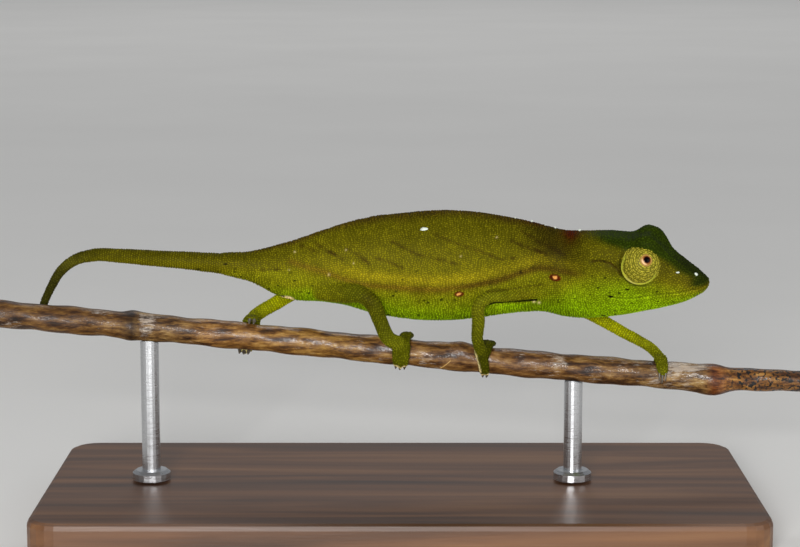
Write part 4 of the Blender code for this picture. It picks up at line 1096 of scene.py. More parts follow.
def bead_roots(rng):
    """Rows of larger scales along the lips and the ridge of the snout."""
    rows = [(mouth_path(), BEAD_RISE), (mouth_path(), -BEAD_RISE)]
    rows += [(head_line(CANTHUS, side), 0.0) for side in (-1, 1)]
    lines = []
    for line, rise in rows:
        length = run_along(line)
        places = np.arange(0.2, length[-1], BEAD_SPACING)
        places = places + rng.normal(0, 0.02, len(places))
        here = np.stack([np.interp(places, length, column) for column in line.T], axis=1)
        lines.append((here + (0.0, 0.0, rise), unit(np.gradient(here, axis=0))))
    at, lie = joined(*zip(*lines))
    return Roots(at, lie, np.full((len(at), 2), BEAD_SIZE), head_spot(at), np.full(len(at), HEAD))


def head_spot(points):
    """The head's unwrap: how far forward and the angle round the straight head."""
    straight = straighten(points)
    back, belly, _, widest = girths(np.clip(straight[:, 0], 20.0, 41.7))[:4]
    angle = np.arctan2(straight[:, 2] - (belly + (back - belly) * widest), straight[:, 1])
    ahead = np.clip((straight[:, 0] - 20.0) / 22.5, 0.0, 1.0)
    return MAP_EDGE + 0.98 * np.stack([ahead, turn_part(angle)], axis=1)


def free_roots(mesh, count, settings, rng):
    """Roots strewn evenly over the whole skin, which fill what the rows leave: head, feet and joints."""
    mesh.calc_loop_triangles()
    corners = np.zeros(len(mesh.loop_triangles) * 3, np.int32)
    mesh.loop_triangles.foreach_get("vertices", corners)
    corners = coordinates(mesh)[corners.reshape(-1, 3)]
    area = lengths(np.cross(corners[:, 1] - corners[:, 0], corners[:, 2] - corners[:, 0]))
    weight = area * np.where(straighten(corners.mean(axis=1))[:, 0] > HEAD_STARTS - 1, 4.0, 1.0)
    pick = np.searchsorted(np.cumsum(weight) / weight.sum(), rng.random(count))
    a, b = rng.random((2, count, 1))
    fold = a + b > 1
    a, b = np.where(fold, 1 - a, a), np.where(fold, 1 - b, b)
    start, left, right = corners[pick].transpose(1, 0, 2)
    at = start + a * (left - start) + b * (right - start)
    straight = straighten(at)
    far = distances(at)
    shared, limb_far, foot_far = nearest_forms(far)
    on_limb = np.minimum(foot_far, limb_far) < shared
    on_head = (straight[:, 0] > HEAD_STARTS - 1) & ~on_limb
    on_tail = (far["tail"] < far["trunk"]) & ~on_limb
    lie = np.repeat(HEAD_TURN[:, 0][None], count, axis=0)
    for limb in LIMBS:
        here = np.minimum(far[limb.name], far[limb.name + "_foot"]) < shared
        path = limb_path(limb)
        lie[here] = path_frames(path)[0][lengths(at[here][:, None] - path[None, :, :3]).argmin(axis=1)]
    crown = ease((straight[:, 2] - line_height(CROWN_EDGE, straight[:, 0])) / 1.5)
    step = np.where(on_head, settings.head * (0.95 + 0.2 * crown), LOOSE_STEP)
    kind = np.select([on_limb, on_tail, on_head, straight[:, 1] < 0], [LIMB, TAIL, HEAD, RIGHT], LEFT)
    low, high = at.min(axis=0), at.max(axis=0)
    loose = np.stack([(at[:, 0] - low[0]) / (high[0] - low[0]),
                      (at[:, 2] - low[2] + 0.37 * at[:, 1]) / (high[2] - low[2] + 4.0)], axis=1)
    spot = np.where(on_head[:, None], head_spot(at), np.clip(loose, MAP_EDGE, 1 - MAP_EDGE))
    return Roots(at, lie, np.stack([0.5 * step, 0.5 * step], axis=1), spot, kind), step


def settle(at, step):
    """Which places are kept when each keeps its step from those before it."""
    grid, kept = {}, []
    keys = np.floor(at / SEARCH_CELL).astype(int)
    around = [(i, j, k) for i in (-1, 0, 1) for j in (-1, 0, 1) for k in (-1, 0, 1)]
    for n, (key, p, least) in enumerate(zip(keys.tolist(), at.tolist(), (step**2).tolist())):
        clear = True
        for i, j, k in around:
            for q in grid.get((key[0] + i, key[1] + j, key[2] + k), ()):
                if (p[0] - q[0])**2 + (p[1] - q[1])**2 + (p[2] - q[2])**2 < least:
                    clear = False
                    break
            if not clear:
                break
        if clear:
            grid.setdefault(tuple(key), []).append(p)
            kept.append(n)
    return np.array(kept)


@functools.cache
def scale_form():
    """One scale as places, faces and heights: a low five-sided bead, flat beneath."""
    bm = bmesh.new()
    bmesh.ops.create_uvsphere(bm, u_segments=5, v_segments=3, radius=1.0)
    for vertex in bm.verts:
        x, y, z = vertex.co
        if z > 0.9:
            vertex.co = (0.0, 0.0, 1.0)
        elif z > 0:
            vertex.co = (SHOULDER[0] * x, SHOULDER[0] * y, SHOULDER[1])
        elif z > -0.9:
            vertex.co = (SKIRT[0] * x, SKIRT[0] * y, SKIRT[1])
        else:
            vertex.co = (0.0, 0.0, -0.5)
    bmesh.ops.triangulate(bm, faces=bm.faces)
    bm.verts.index_update()
    places = np.array([v.co for v in bm.verts])
    faces = np.array([[v.index for v in face.verts] for face in bm.faces])
    bm.free()
    return places, faces


def scale_mesh(name, at, normal, lie, size, height, spot):
    """A mesh of scales with their patches on the map; also a scale's corners and how high each vertex is."""
    form, faces = scale_form()
    along = unit(lie - normal * np.sum(lie * normal, axis=1, keepdims=True))
    count, corners = len(at), len(form)
    verts = (at[:, None] + along[:, None] * form[None, :, 0:1] * size[:, None, 0:1]
             + np.cross(normal, along)[:, None] * form[None, :, 1:2] * size[:, None, 1:2]
             + normal[:, None] * form[None, :, 2:3] * height[:, None, None])
    tris = (faces[None] + np.arange(count)[:, None, None] * corners).reshape(-1)
    mesh = bpy.data.meshes.new(name)
    mesh.vertices.add(count * corners)
    mesh.loops.add(len(tris))
    mesh.polygons.add(len(tris) // 3)
    mesh.vertices.foreach_set("co", (verts.reshape(-1) * MM).astype(np.float32))
    mesh.loops.foreach_set("vertex_index", tris.astype(np.int32))
    mesh.polygons.foreach_set("loop_start", np.arange(0, len(tris), 3, dtype=np.int32))
    mesh.update(calc_edges=True)
    mesh.shade_smooth()
    patch = spot[:, None] + MAP_PATCH * form[None, :, :2]
    layer = mesh.uv_layers.new(name="OFBake")
    layer.data.foreach_set("uv", patch.reshape(-1, 2)[tris].astype(np.float32).ravel())
    return mesh, corners, np.tile(np.clip((form[:, 2] + 0.1) / 0.9, 0, 1), count)


def build_scales(settings):
    """The coat of scales in five pieces: rings on trunk, tail and limbs, and strewn over head and feet."""
    rng = np.random.default_rng(SEED)
    groups = [(bead_roots(rng), BEAD_STEP), (trunk_roots(settings, rng), TRUNK_STEP),
              (path_roots(tail_path(), settings.limb, TAIL_DEPTH, rng, 0.01, 0.99, TAIL), ROW_STEP)]
    for i, limb in enumerate(LIMBS):
        rows = path_roots(limb_path(limb), settings.limb, LIMB_DEPTH, rng,
                          0.01 + 0.245 * i, 0.235 + 0.245 * i, LIMB, 0.5 if i < 2 else 0.0)
        groups.append((rows, ROW_STEP))
    count = LOOSE_COUNT
    loose, step = free_roots(bpy.data.objects["skin"].data, count, settings, rng)
    groups.append((loose, step * LOOSE_SHARE))
    roots = Roots(*joined(*zip(*(group for group, _ in groups))))
    steps = np.concatenate([np.broadcast_to(least, len(group.at)) for group, least in groups])
    tree = skin_tree()
    at, normal, _, reach = (np.array(v) for v in zip(*(tree.find_nearest(Vector(p)) for p in roots.at)))
    eye_far = np.min([lengths(at - gaze_frame(side)[0]) for side in (-1, 1)], axis=0)
    usable = np.nonzero((reach < SKIN_REACH) & (eye_far >= TURRET_RADIUS + EYE_GAP))[0]
    kept = usable[settle(at[usable], steps[usable])]
    at, normal, lie, size, spot, kind = (v[kept] for v in (at, normal, *roots[1:]))
    m = paint(at)
    straight = straighten(at)
    vary = rng.normal(1.0, 0.12, len(at)).clip(0.72, 1.28)
    height = settings.height * vary * np.where(kind == HEAD, 0.75 - 0.3 * m["crown"], 1.0)
    height = height * (1 - 0.6 * m["foot"])
    loose_way = (kind == HEAD) | ((kind <= LEFT) & (m["green"] < 0.5))
    twist = (2.6 * wander(at, 1.3, 17.0) + rng.normal(0, 0.3, len(at))) * loose_way
    lie = lie * np.cos(twist)[:, None] + np.cross(normal, lie) * np.sin(twist)[:, None]
    size = size * vary[:, None] * np.where(loose_way[:, None], (1.20, 0.82), (0.95, 1.02))
    tone = (m["tone"] + rng.normal(0, 1, len(at)) * m["spread"]).clip(0, 1)
    finish = hide_material("Scale keratin")
    for number, name in enumerate(SCALE_PIECES):
        here = kind == number
        mesh, corners, top = scale_mesh(name, *(v[here] for v in (at, normal, lie, size, height, spot)))
        marks = {key: np.repeat(value[here], corners) for key, value in m.items()}
        verts = coordinates(mesh)
        turn = np.repeat(head_turn(turn_share(straight[here, 0])), corners, axis=0)
        local = np.einsum("nji,nj->ni", turn, verts - np.repeat(at[here], corners, axis=0))
        add_marks(marks, np.repeat(straight[here], corners, axis=0) + local, verts[:, 1])
        # Where the scales are smooth, the painted shade at their bases is weaker.
        top = 1 - (1 - top) * (1 - 0.45 * marks["smooth"])
        store_paint(mesh, marks, np.repeat(tone[here], corners), top)
        place(mesh, finish, "tail_skin" if number == TAIL else "skin")


def connect(tree, made, inputs):
    """Set a node's inputs, each from a value, an output, or another node's first output in use."""
    for key, value in inputs.items():
        if isinstance(value, bpy.types.Node):
            value = next(socket for socket in value.outputs if socket.enabled)
        if isinstance(value, bpy.types.NodeSocket):
            tree.links.new(value, made.inputs[key])
        else:
            made.inputs[key].default_value = value


def node(tree, kind, inputs=None, **settings):
    """Add a node with its settings and links."""
    made = tree.nodes.new("ShaderNode" + kind)
    for key, value in settings.items():
        setattr(made, key, value)
    connect(tree, made, inputs or {})
    return made


def colour_stops(ramp, stops):
    """Set a colour ramp's stops from pairs of place and sRGB code."""
    for i, (spot, code) in enumerate(stops):
        stop = ramp.color_ramp.elements[i] if i < 2 else ramp.color_ramp.elements.new(spot)
        stop.position = spot
        stop.color = linear(code)


def blank(name):
    """A new material with a Principled shader, as the material, its tree and its shader."""
    made = bpy.data.materials.new(name)
    made.use_nodes = True
    return made, made.node_tree, made.node_tree.nodes["Principled BSDF"]


def hide_material(name):
    """Reptile skin and its thin keratin scales, which give a satin sheen over green and olive pigment."""
    look = bpy.context.scene.chameleon_skin
    made, tree, shader = blank(name)
    masks = {}
    for layer, words in PAINT_LAYERS.items():
        source = node(tree, "Attribute", attribute_name=layer)
        parts = node(tree, "SeparateColor", {"Color": source})
        masks.update(zip(words, (*parts.outputs[:3], source.outputs["Alpha"])))
    colour = look.flank
    for word in PIGMENTS:
        colour = node(tree, "Mix", {0: masks[word], 6: colour, 7: getattr(look, word)}, data_type="RGBA")
    where = node(tree, "TexCoord").outputs["Object"]
    mottle = node(tree, "TexNoise", {"Vector": where, "Scale": 900.0, "Detail": 3.0, "Roughness": 0.6})
    shade = node(tree, "MapRange", {0: mottle, 1: 0.35, 2: 0.65, 3: 0.86, 4: 1.12})
    # Tone is partly painted light and shade; top paints light on each scale's crown and shade at its base and
    # on the skin between scales.
    for word, low, high in (("tone", 0.60, 1.42), ("top", 0.56, 1.14)):
        share = node(tree, "MapRange", {0: masks[word], 3: low, 4: high})
        shade = node(tree, "Math", {0: shade, 1: share}, operation="MULTIPLY")
    colour = node(tree, "VectorMath", {0: colour, "Scale": shade}, operation="SCALE")
    for word in ("amber", "pale", "fleck_and_shade"):
        colour = node(tree, "Mix", {0: masks[word], 6: colour, 7: getattr(look, word)}, data_type="RGBA")
    pores = node(tree, "TexNoise", {"Vector": where, "Scale": 6000.0, "Detail": 2.0})
    bump = node(tree, "Bump", {"Height": pores, "Strength": 0.25, "Distance": 0.00003})
    connect(tree, shader, {"Base Color": colour, "Normal": bump, "Roughness": 0.5, "IOR": 1.4,
                           "Specular IOR Level": 0.025})
    return made


def plain_material(name, code, roughness, scale=1500.0, spread=0.22):
    """A material of one pigment, made uneven by a fine noise."""
    made, tree, shader = blank(name)
    where = node(tree, "TexCoord").outputs["Object"]
    speck = node(tree, "TexNoise", {"Vector": where, "Scale": scale, "Detail": 4.0})
    tone = node(tree, "MapRange", {0: speck, 1: 0.3, 2: 0.7, 3: 1 - spread, 4: 1 + spread})
    shaded = node(tree, "VectorMath", {0: linear(code)[:3], "Scale": tone}, operation="SCALE")
    connect(tree, shader, {"Base Color": shaded, "Roughness": roughness})
    return made


def eye_material():
    """The wet eye: a black pupil edged with maroon in a salmon iris, paler at its lower back, and glossy."""
    made, tree, shader = blank("Wet eye")
    parts = node(tree, "SeparateColor", {"Color": node(tree, "Attribute", attribute_name="iris")})
    ramp = node(tree, "ValToRGB", {"Fac": parts.outputs[0]})
    colour_stops(ramp, IRIS_RINGS)
    pink = node(tree, "Mix", {0: parts.outputs[1], 6: ramp, 7: linear("#dfb98a")}, data_type="RGBA")
    connect(tree, shader, {"Base Color": pink, "Roughness": 0.10, "IOR": 1.376, "Specular IOR Level": 0.12})
    return made


def bark_material():
    """Wet bark of a thin twig: brown with dark cracks along it and pale flakes, partly painted highlight
    towards the front leaf node, under a film of water.
    """
    made, tree, shader = blank("Wet twig bark")
    where = node(tree, "TexCoord").outputs["Object"]
    slope = math.atan2(TWIG_LINE[-1][1] - TWIG_LINE[0][1], TWIG_LINE[-1][0] - TWIG_LINE[0][0])
    grain = node(tree, "Mapping", {"Vector": where, "Rotation": (0.0, slope, 0.0), "Scale": (0.24, 1.0, 1.0)})
    streak = node(tree, "TexNoise", {"Vector": grain, "Scale": 1300.0, "Detail": 8.0, "Roughness": 0.72})
    browns = node(tree, "ValToRGB", {"Fac": streak})
    colour_stops(browns, BARK_BROWNS)
    along = node(tree, "SeparateXYZ", {0: where})
    share = node(tree, "MapRange", {0: along, 1: -TWIG_HALF_LENGTH * MM, 2: TWIG_HALF_LENGTH * MM})
    zones, bare = (node(tree, "ValToRGB", {"Fac": share}) for _ in range(2))
    for ramp, places in ((zones, BARK_TINTS), (bare, BARK_BARE)):
        colour_stops(ramp, [((x + TWIG_HALF_LENGTH) / (2 * TWIG_HALF_LENGTH), code) for x, code in places])
    zoned = node(tree, "Mix", {0: 1.0, 6: browns, 7: zones}, data_type="RGBA", blend_type="MULTIPLY")
    patches = node(tree, "TexNoise", {"Vector": where, "Scale": 260.0, "Detail": 4.0})
    flakes = node(tree, "TexNoise", {"Vector": grain, "Scale": 3200.0, "Detail": 5.0, "Roughness": 0.75})
    both = node(tree, "Math", {0: flakes, 1: patches}, operation="ADD")
    both = node(tree, "Math", {0: bare, 1: 0.22, 2: both}, operation="MULTIPLY_ADD")
    white = node(tree, "MapRange", {0: both, 1: 1.20, 2: 1.36, 4: 0.55})
    # Pale grey flakes; towards the front leaf node they are partly painted highlight of the wet bark.
    flaked = node(tree, "Mix", {0: white, 6: zoned, 7: linear("#bcb0a2")}, data_type="RGBA")
    mould = node(tree, "TexNoise", {"Vector": where, "Scale": 2300.0, "Detail": 2.0})
    spotted = node(tree, "MapRange", {0: mould, 1: 0.53, 2: 0.56})
    beyond = node(tree, "MapRange", {0: along, 1: (TWIG_NODE_FRONT + 1) * MM, 2: (TWIG_NODE_FRONT + 3) * MM})
    black = node(tree, "Math", {0: spotted, 1: beyond}, operation="MULTIPLY")
    specked = node(tree, "Mix", {0: black, 6: flaked, 7: linear("#0d0a08")}, data_type="RGBA")
    height = node(tree, "Math", {0: streak, 1: white}, operation="ADD")
    bump = node(tree, "Bump", {"Height": height, "Strength": 0.7, "Distance": 0.0001})
    drops = node(tree, "TexNoise", {"Vector": where, "Scale": 6200.0, "Detail": 2.0, "Roughness": 0.5})
    film = node(tree, "Bump", {"Height": drops, "Strength": 1.0, "Distance": 0.000036})
    beads = node(tree, "TexNoise", {"Vector": where, "Scale": 3600.0, "Detail": 3.0, "Roughness": 0.7})
    wet = node(tree, "MapRange", {0: beads, 1: 0.43, 2: 0.54})
    damp = node(tree, "MapRange", {0: along, 1: DAMP_FROM * MM, 2: DAMP_TO * MM, 3: 0.25})
    water = node(tree, "Math", {0: wet, 1: damp}, operation="MULTIPLY")
    connect(tree, shader, {"Base Color": specked, "Normal": bump, "Roughness": 0.5,
                           "Specular IOR Level": 0.25, "Coat Weight": water, "Coat Normal": film,
                           "Coat IOR": 1.33, "Coat Roughness": 0.09})
    return made


def wood_material():
    """Oiled walnut for the base, cut along the grain, with a soft satin finish."""
    made, tree, shader = blank("Oiled walnut")
    where = node(tree, "TexCoord").outputs["Object"]
    along = node(tree, "Mapping", {"Vector": where, "Scale": (0.06, 1.0, 1.0)})
    rings = node(tree, "TexNoise", {"Vector": along, "Scale": 260.0, "Detail": 6.0, "Distortion": 0.6})
    ramp = node(tree, "ValToRGB", {"Fac": rings})
    colour_stops(ramp, WALNUT_BROWNS)
    pores = node(tree, "TexNoise", {"Vector": along, "Scale": 3000.0, "Detail": 2.0})
    bump = node(tree, "Bump", {"Height": pores, "Strength": 0.3, "Distance": 0.00004})
    connect(tree, shader, {"Base Color": ramp, "Normal": bump, "Roughness": 0.42})
    return made


def steel_material():
    """Brushed stainless steel rods, with fine lines round them from polishing in a lathe."""
    made, tree, shader = blank("Brushed stainless steel")
    where = node(tree, "TexCoord").outputs["Object"]
    rings = node(tree, "Mapping", {"Vector": where, "Scale": (0.05, 0.05, 1.0)})
    lines = node(tree, "TexNoise", {"Vector": rings, "Scale": 9000.0, "Detail": 2.0})
    bump = node(tree, "Bump", {"Height": lines, "Strength": 0.25, "Distance": 0.00002})
    gloss = node(tree, "MapRange", {0: lines, 1: 0.3, 2: 0.7, 3: 0.24, 4: 0.4})
    connect(tree, shader, {"Base Color": linear("#c3c4c6"), "Metallic": 1.0, "Roughness": gloss,
                           "Normal": bump})
    return made


def turret_profile():
    """The lids' outline from the base over the cone into the opening, as radius and height, and its top."""
    rim = APERTURE_RADIUS + LID_WIDTH
    start, end = math.radians(52), math.pi - math.asin(rim / TURRET_RADIUS)
    angle = np.linspace(start, end, LID_STEPS)
    height = -TURRET_RADIUS * np.cos(angle)
    lift = ease((angle - (end - 0.5)) / 0.5) * 0.5 * LID_RISE
    outer = np.stack([TURRET_RADIUS * np.sin(angle), height + lift], axis=1)
    top = height[-1] + LID_RISE
    lips = (rim, top) + np.array(LIP_OUTER), (APERTURE_RADIUS, top) + np.array(LIP_INNER)
    return np.concatenate([outer, *lips]), top


def revolve(profile, side, sides):
    """Rings of a shape turned about the line of sight."""
    centre, axes = gaze_frame(side)
    angle = round_angles(sides)
    local = np.stack([profile[:, 0:1] * np.cos(angle), profile[:, 0:1] * np.sin(angle),
                      profile[:, 1:2] + 0 * angle], axis=-1)
    return centre + local @ axes.T


def build_eyes():
    """The two turrets of lids with rings of small scales, and the wet eyes in their openings."""
    rng = np.random.default_rng(SEED + 1)
    lids, wet, scales = lid_material("Eyelid skin"), eye_material(), lid_material("Eyelid scales")
    profile, top = turret_profile()
    seat = top - APERTURE_DEPTH
    ball = [(EYE_RADIUS * 0.985, seat + 0.02)]
    ball += [(EYE_RADIUS * math.cos(a), seat + 0.1 + 0.34 * math.sin(a))
             for a in np.radians(range(0, 91, 10))]
    for side, word in ((-1, "right"), (1, "left")):
        # The lids' skin takes the shaded base of the scales' painted relief, and the rim's fold the lit top:
        # painted shade and painted light.
        for name, rings, painted_light_share, nodes in (
                ("lids_", revolve(profile, side, LID_SIDES), 0.0, ["eye_turret_" + word]),
                ("lid_rim_", tube_rings(lid_rim_path(side), RIM_SIDES), 1.0, ())):
            mesh = mesh_of(name + word, sleeve(rings))
            points = coordinates(mesh)
            paint_lids(mesh, points, side, np.full(len(points), 0.5), painted_light_share)
            place(mesh, lids, "lids", nodes)
        build_lid_scales(side, word, profile[:LID_STEPS], scales, rng)
        mesh = mesh_of("wet_eye_" + word, sleeve(revolve(np.array(ball), side, EYE_SIDES)))
        centre, axes = gaze_frame(side)
        local = (coordinates(mesh) - centre) @ axes
        back = axes.T @ HEAD_TURN @ unit(np.array(GROOVE_SHADE))
        ring = lengths(local[:, :2] + 0.13 * back[:2]) / EYE_RADIUS
        lower_back = ease((unit(local[:, :2]) @ unit(back[:2]) - 0.2) / 0.8) * ease((ring - 0.70) / 0.15)
        write_colour(mesh, "iris", (ring, lower_back))
        place(mesh, wet, "eye", ["eye_" + word])


def lid_rim_path(side):
    """The soft fold along the lower back edge of the turret, as x, y, z and radius."""
    centre, _ = gaze_frame(side)
    share = np.linspace(0.0, 1.0, RIM_POINTS)
    angle = RIM_FROM + (RIM_TO - RIM_FROM) * share
    ring = np.stack([np.cos(angle) * math.sin(RIM_ANGLE), side * math.cos(RIM_ANGLE) + 0 * angle,
                     np.sin(angle) * math.sin(RIM_ANGLE)], axis=1)
    line = centre + ring @ HEAD_TURN.T * (TURRET_RADIUS - 0.02)
    return np.concatenate([line, (0.03 + RIM_SIZE * np.sin(math.pi * share))[:, None]], axis=1)


def paint_lids(mesh, points, side, tone, top):
    """Store where on the turret each vertex lies: near the opening, near the lower rim, and its grain,
    darkened by painted shade in a groove along the lower back rim.
    """
    centre, axes = gaze_frame(side)
    local = (points - centre) @ axes
    outward = unit(points - centre)
    low = outward @ (HEAD_TURN @ unit(np.array(RIM_SHADE)))
    from_base = np.arccos(np.clip(outward @ (HEAD_TURN @ np.array((0.0, side, 0.0))), -1, 1)) - RIM_ANGLE
    rose = near(np.maximum(lengths(local[:, :2]) - APERTURE_RADIUS - 0.02, 0), 0.10)
    rose = rose * ease((local[:, 2] - 1.5) / 0.3)
    rim = near(from_base, 0.11) * ease((low + 0.35) / 0.5)
    # Painted shade in a groove along the lower back rim.
    groove = near(from_base + 0.16, 0.045) * ease((low + 0.25) / 0.4)
    tone = tone * (1 - groove) - 0.7 * groove
    write_colour(mesh, "lid", (rose, rim, tone, ease((low - 0.72) / 0.25) * rim))
    write_colour(mesh, "grain", (tone, top, 0.0, 1.0))


def build_lid_scales(side, word, outer, finish, rng):
    """Rings of narrow scales that lie round the turret, end to end, with a groove between rings."""
    length = run_along(outer)
    centre, axes = gaze_frame(side)
    rings = []
    for i, place_along in enumerate(np.arange(1.1, length[-1] + 0.05, LID_RING)):
        radius, height = (np.interp(place_along, length, column) for column in outer.T)
        count = max(6, round(2 * math.pi * radius / LID_SPACING))
        angle = (np.arange(count) + rng.uniform(-0.3, 0.3, count) + 0.5 * (i % 2)) * 2 * math.pi / count
        c, s = np.cos(angle), np.sin(angle)
        r = radius + 0.05 * np.sin(angle * 4 + 2.1 * i) + rng.normal(0, 0.015, count)
        local = np.stack([r * c, r * s, 0 * r + height], axis=1)
        out = 0.46 * place_along / length[-1]
        around = np.stack([-s, c, 0 * angle], axis=1)
        spot = np.stack([0.5 + out * c, 0.5 + out * s], axis=1)
        rings.append((centre + local @ axes.T, unit(local) @ axes.T, around @ axes.T, spot,
                      np.full(count, 0.34 + 0.24 * (i % 2))))
    at, normal, lie, spot, tone = joined(*zip(*rings))
    vary = rng.normal(1.0, 0.1, len(at)).clip(0.75, 1.25)
    tone = (tone + rng.normal(0, 0.2, len(at))).clip(0, 1)
    mesh, corners, top = scale_mesh("lid_scales_" + word, at, normal, lie, vary[:, None] * LID_SCALE,
                                    LID_HEIGHT * vary, spot)
    paint_lids(mesh, np.repeat(at, corners, axis=0), side, np.repeat(tone, corners), top)
    place(mesh, finish, "lids")


def lid_material(name):
    """Eyelid skin: yellow olive in fine rings, rose at the opening, pale yellow along the lower back rim."""
    made, tree, shader = blank(name)
    lid = node(tree, "Attribute", attribute_name="lid")
    parts = node(tree, "SeparateColor", {"Color": lid})
    grain = node(tree, "SeparateColor", {"Color": node(tree, "Attribute", attribute_name="grain")})
    # The grain's top paints light on each lid scale's crown and shade at its base and on the skin between
    # them.
    colour = node(tree, "Mix", {0: grain.outputs[1], 6: linear("#625e12"), 7: linear("#9c922a")},
                  data_type="RGBA")
    tone = node(tree, "MapRange", {0: parts.outputs[2], 3: 0.66, 4: 1.35})
    colour = node(tree, "VectorMath", {0: colour, "Scale": tone}, operation="SCALE")
    for share, code in ((parts.outputs[1], "#a0a430"), (lid.outputs["Alpha"], "#cdb67a"),
                        (parts.outputs[0], "#a17c3e")):
        colour = node(tree, "Mix", {0: share, 6: colour, 7: linear(code)}, data_type="RGBA")
    where = node(tree, "TexCoord").outputs["Object"]
    pores = node(tree, "TexNoise", {"Vector": where, "Scale": 5000.0, "Detail": 2.0})
    bump = node(tree, "Bump", {"Height": pores, "Strength": 0.3, "Distance": 0.00004})
    connect(tree, shader, {"Base Color": colour, "Normal": bump, "Roughness": 0.48,
                           "Specular IOR Level": 0.1})
    return made


def build_claws():
    """The curved claws at the tips of the toes, of dull brown horn with a faint grain."""
    horn = plain_material("Claw horn", "#4d453a", 0.4, 3000.0)
    for limb in LIMBS:
        claws = [sleeve(tube_rings(claw, TOE_SIDES)) for _, claw in toe_paths(limb, limb.bundles)]
        place(mesh_of("claws_" + limb.name, gathered(claws)), horn, "foot_skin")


def build_grains():
    """Dried, chalky grains that cling to the skin: on snout, lore, nape, back and one on the flank."""
    tree = skin_tree()
    grains = []
    for spot, size in GRAINS:
        at, normal, _, _ = tree.find_nearest(Vector(spot))
        bm = bmesh.new()
        bmesh.ops.create_icosphere(bm, subdivisions=2, radius=1.0)
        turn = normal.to_track_quat("Z", "X").to_matrix().to_4x4()
        for vertex in bm.verts:
            vertex.co *= 1 + GRAIN_ROUGH * noise.noise(vertex.co * 1.4 + Vector(spot))
        bm.transform(Matrix.Translation(at + normal * GRAIN_SINK) @ turn @ Matrix.Diagonal((*size, 1.0)))
        grains.append(bm)
    chalk = plain_material("Dried mineral grains", "#c3cabd", 0.5)
    place(mesh_of("dried_grains", gathered(grains)), chalk, "skin")


def build_splinter():
    """A thin fibre of dry, pale yellow straw that lies slanting over the bark."""
    degrees = np.linspace(*SPLINTER_DEGREES, TOE_POINTS)
    x = np.linspace(*SPLINTER_X, TOE_POINTS)
    line = around_twig(x, degrees, twig_radius(x, np.radians(degrees)) + 0.10)
    radius = SPLINTER_RADIUS * np.array([0.4, *[1.0] * (TOE_POINTS - 2), 0.4])
    path = np.concatenate([line, radius[:, None]], axis=1)
    straw = plain_material("Dry straw", "#b08a4c", 0.5)
    place(mesh_of("straw_fibre", sleeve(tube_rings(path, FIBRE_SIDES))), straw, "bark")


def build_twig():
    """The cut length of twig with its bark, swollen leaf nodes, a bud and clean cut ends."""
    x = np.linspace(-TWIG_HALF_LENGTH, TWIG_HALF_LENGTH, TWIG_RINGS)[:, None]
    angle = round_angles(TWIG_SIDES)[None]
    _, up = twig_frame(x[:, 0])
    out = np.array((0.0, -1.0, 0.0)) * np.cos(angle)[..., None] + up[:, None] * np.sin(angle)[..., None]
    rough = np.broadcast_arrays(x * 0.35, 1.6 * np.cos(angle), 1.6 * np.sin(angle))
    rough = np.stack(rough, axis=-1).reshape(-1, 3)
    radius = twig_radius(x, angle)
    bark = wander(rough, 0.55, 5.0).reshape(radius.shape)
    ridges = wander(rough * (0.5, 1.0, 1.0), 0.22, 9.0).reshape(radius.shape)
    radius = radius + BARK_SKIN + BARK_LUMPS * bark + BARK_RIDGES * ridges
    bm = sleeve(twig_centre(x[:, 0])[:, None] + out * radius[..., None])
    ends = [f for f in bm.faces if len(f.verts) > 8]
    bmesh.ops.inset_region(bm, faces=ends, thickness=CUT_INSET, depth=-CUT_DEPTH, use_even_offset=True)
    place(mesh_of("twig_bark", bm), bark_material(), "bark", ["perch"])


def build_stand():
    """The base board and its rods keep their solids and get their finishes."""
    steel = steel_material()
    for name, finish in (("base", wood_material()), ("rod_front", steel), ("rod_rear", steel)):
        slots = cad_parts["stand_" + name].data.materials
        slots.clear()
        slots.append(finish)


def build_stage(settings):
    """The pale paper floor, the soft lights and the camera at the photograph's angle."""
    bm = bmesh.new()
    bmesh.ops.create_grid(bm, x_segments=8, y_segments=8, size=6.0)
    mesh = bpy.data.meshes.new("floor")
    bm.to_mesh(mesh)
    bm.free()
    mesh.materials.append(plain_material("Pale paper", "#efede9", 0.9, 8.0, 0.02))
    new_object("floor", mesh)
    target = Vector(VIEW_TARGET)
    for name, spot, aim, size, share in LAMPS:
        lamp = bpy.data.lights.new(name, "AREA")
        lamp.energy, lamp.size = share * settings.key, size
        light = new_object(name, lamp)
        light.location = spot
        light.rotation_euler = (Vector(aim) - Vector(spot)).to_track_quat("-Z", "Y").to_euler()
    world = bpy.data.worlds.new("room")
    bpy.context.scene.world = world
    world.use_nodes = True
    background = world.node_tree.nodes["Background"]
    connect(world.node_tree, background, {"Color": ROOM_COLOUR, "Strength": settings.fill})
    lens = bpy.data.cameras.new("camera")
    lens.lens, lens.sensor_width, lens.clip_start = 100.0, 36.0, 0.01
    camera = new_object("camera", lens)
    camera.location = target + settings.distance * Vector((0.0, -math.cos(settings.elevation),
                                                           math.sin(settings.elevation)))
    camera.rotation_euler = (math.pi / 2 - settings.elevation, 0.0, 0.0)
    bpy.context.scene.camera = camera
    bpy.context.scene.view_settings.view_transform = "Standard"


class CHAMELEON_OT_skin(bpy.types.Operator):
    """Build the skin"""

    bl_idname = "chameleon.skin"
    bl_label = "Skin"

    def execute(self, context):
        build_skin()
        return {"FINISHED"}


class CHAMELEON_OT_scales(bpy.types.Operator):
    """Cover the skin with scales"""

    bl_idname = "chameleon.scales"
    bl_label = "Scales"

    def execute(self, context):
        build_scales(context.scene.chameleon_scales)
        return {"FINISHED"}


class CHAMELEON_OT_eyes(bpy.types.Operator):
    """Build the turrets of lids and the eyes"""

    bl_idname = "chameleon.eyes"
    bl_label = "Eyes"

    def execute(self, context):
        build_eyes()
        return {"FINISHED"}


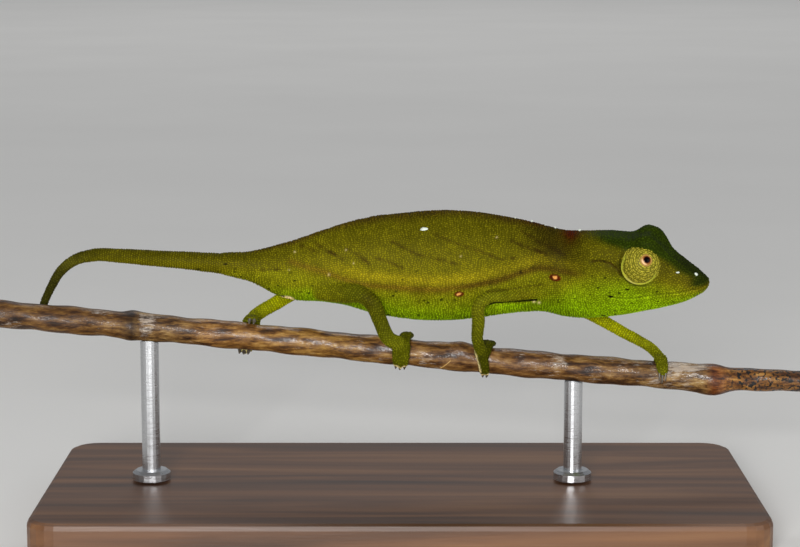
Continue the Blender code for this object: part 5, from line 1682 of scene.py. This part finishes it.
class CHAMELEON_OT_claws(bpy.types.Operator):
    """Build the claws"""

    bl_idname = "chameleon.claws"
    bl_label = "Claws"

    def execute(self, context):
        build_claws()
        return {"FINISHED"}


class CHAMELEON_OT_grains(bpy.types.Operator):
    """Strew the dried grains on the skin"""

    bl_idname = "chameleon.grains"
    bl_label = "Grains"

    def execute(self, context):
        build_grains()
        return {"FINISHED"}


class CHAMELEON_OT_twig(bpy.types.Operator):
    """Build the twig"""

    bl_idname = "chameleon.twig"
    bl_label = "Twig"

    def execute(self, context):
        build_twig()
        build_splinter()
        return {"FINISHED"}


class CHAMELEON_OT_stand(bpy.types.Operator):
    """Finish the stand"""

    bl_idname = "chameleon.stand"
    bl_label = "Stand"

    def execute(self, context):
        build_stand()
        return {"FINISHED"}


class CHAMELEON_OT_stage(bpy.types.Operator):
    """Set the floor, the lights and the camera"""

    bl_idname = "chameleon.stage"
    bl_label = "Stage"

    def execute(self, context):
        build_stage(context.scene.chameleon_stage)
        return {"FINISHED"}


OPERATORS = (CHAMELEON_OT_stage, CHAMELEON_OT_skin, CHAMELEON_OT_scales, CHAMELEON_OT_eyes,
             CHAMELEON_OT_claws, CHAMELEON_OT_grains, CHAMELEON_OT_twig, CHAMELEON_OT_stand)


class CHAMELEON_PT_panel(bpy.types.Panel):
    """Lists the pieces and their settings"""

    bl_idname = "CHAMELEON_PT_panel"
    bl_label = "Chameleon"
    bl_space_type = "VIEW_3D"
    bl_region_type = "UI"
    bl_category = "Chameleon"

    def draw(self, context):
        for operator in OPERATORS:
            self.layout.operator(operator.bl_idname)
        scene = context.scene
        for group in (scene.chameleon_skin, scene.chameleon_scales, scene.chameleon_stage):
            for name in group.__annotations__:
                self.layout.prop(group, name)


CLASSES = (SkinSettings, ScaleSettings, StageSettings, *OPERATORS, CHAMELEON_PT_panel)


def register():
    """Make the classes and their settings known."""
    for entry in CLASSES:
        bpy.utils.register_class(entry)
    bpy.types.Scene.chameleon_skin = bpy.props.PointerProperty(type=SkinSettings)
    bpy.types.Scene.chameleon_scales = bpy.props.PointerProperty(type=ScaleSettings)
    bpy.types.Scene.chameleon_stage = bpy.props.PointerProperty(type=StageSettings)


def unregister():
    """Take the settings and the classes out again."""
    del bpy.types.Scene.chameleon_stage
    del bpy.types.Scene.chameleon_scales
    del bpy.types.Scene.chameleon_skin
    for entry in reversed(CLASSES):
        bpy.utils.unregister_class(entry)


def main():
    """Build everything."""
    register()
    bpy.ops.chameleon.stage()
    bpy.ops.chameleon.skin()
    bpy.ops.chameleon.scales()
    bpy.ops.chameleon.eyes()
    bpy.ops.chameleon.claws()
    bpy.ops.chameleon.grains()
    bpy.ops.chameleon.twig()
    bpy.ops.chameleon.stand()


if __name__ == "__main__":
    main()
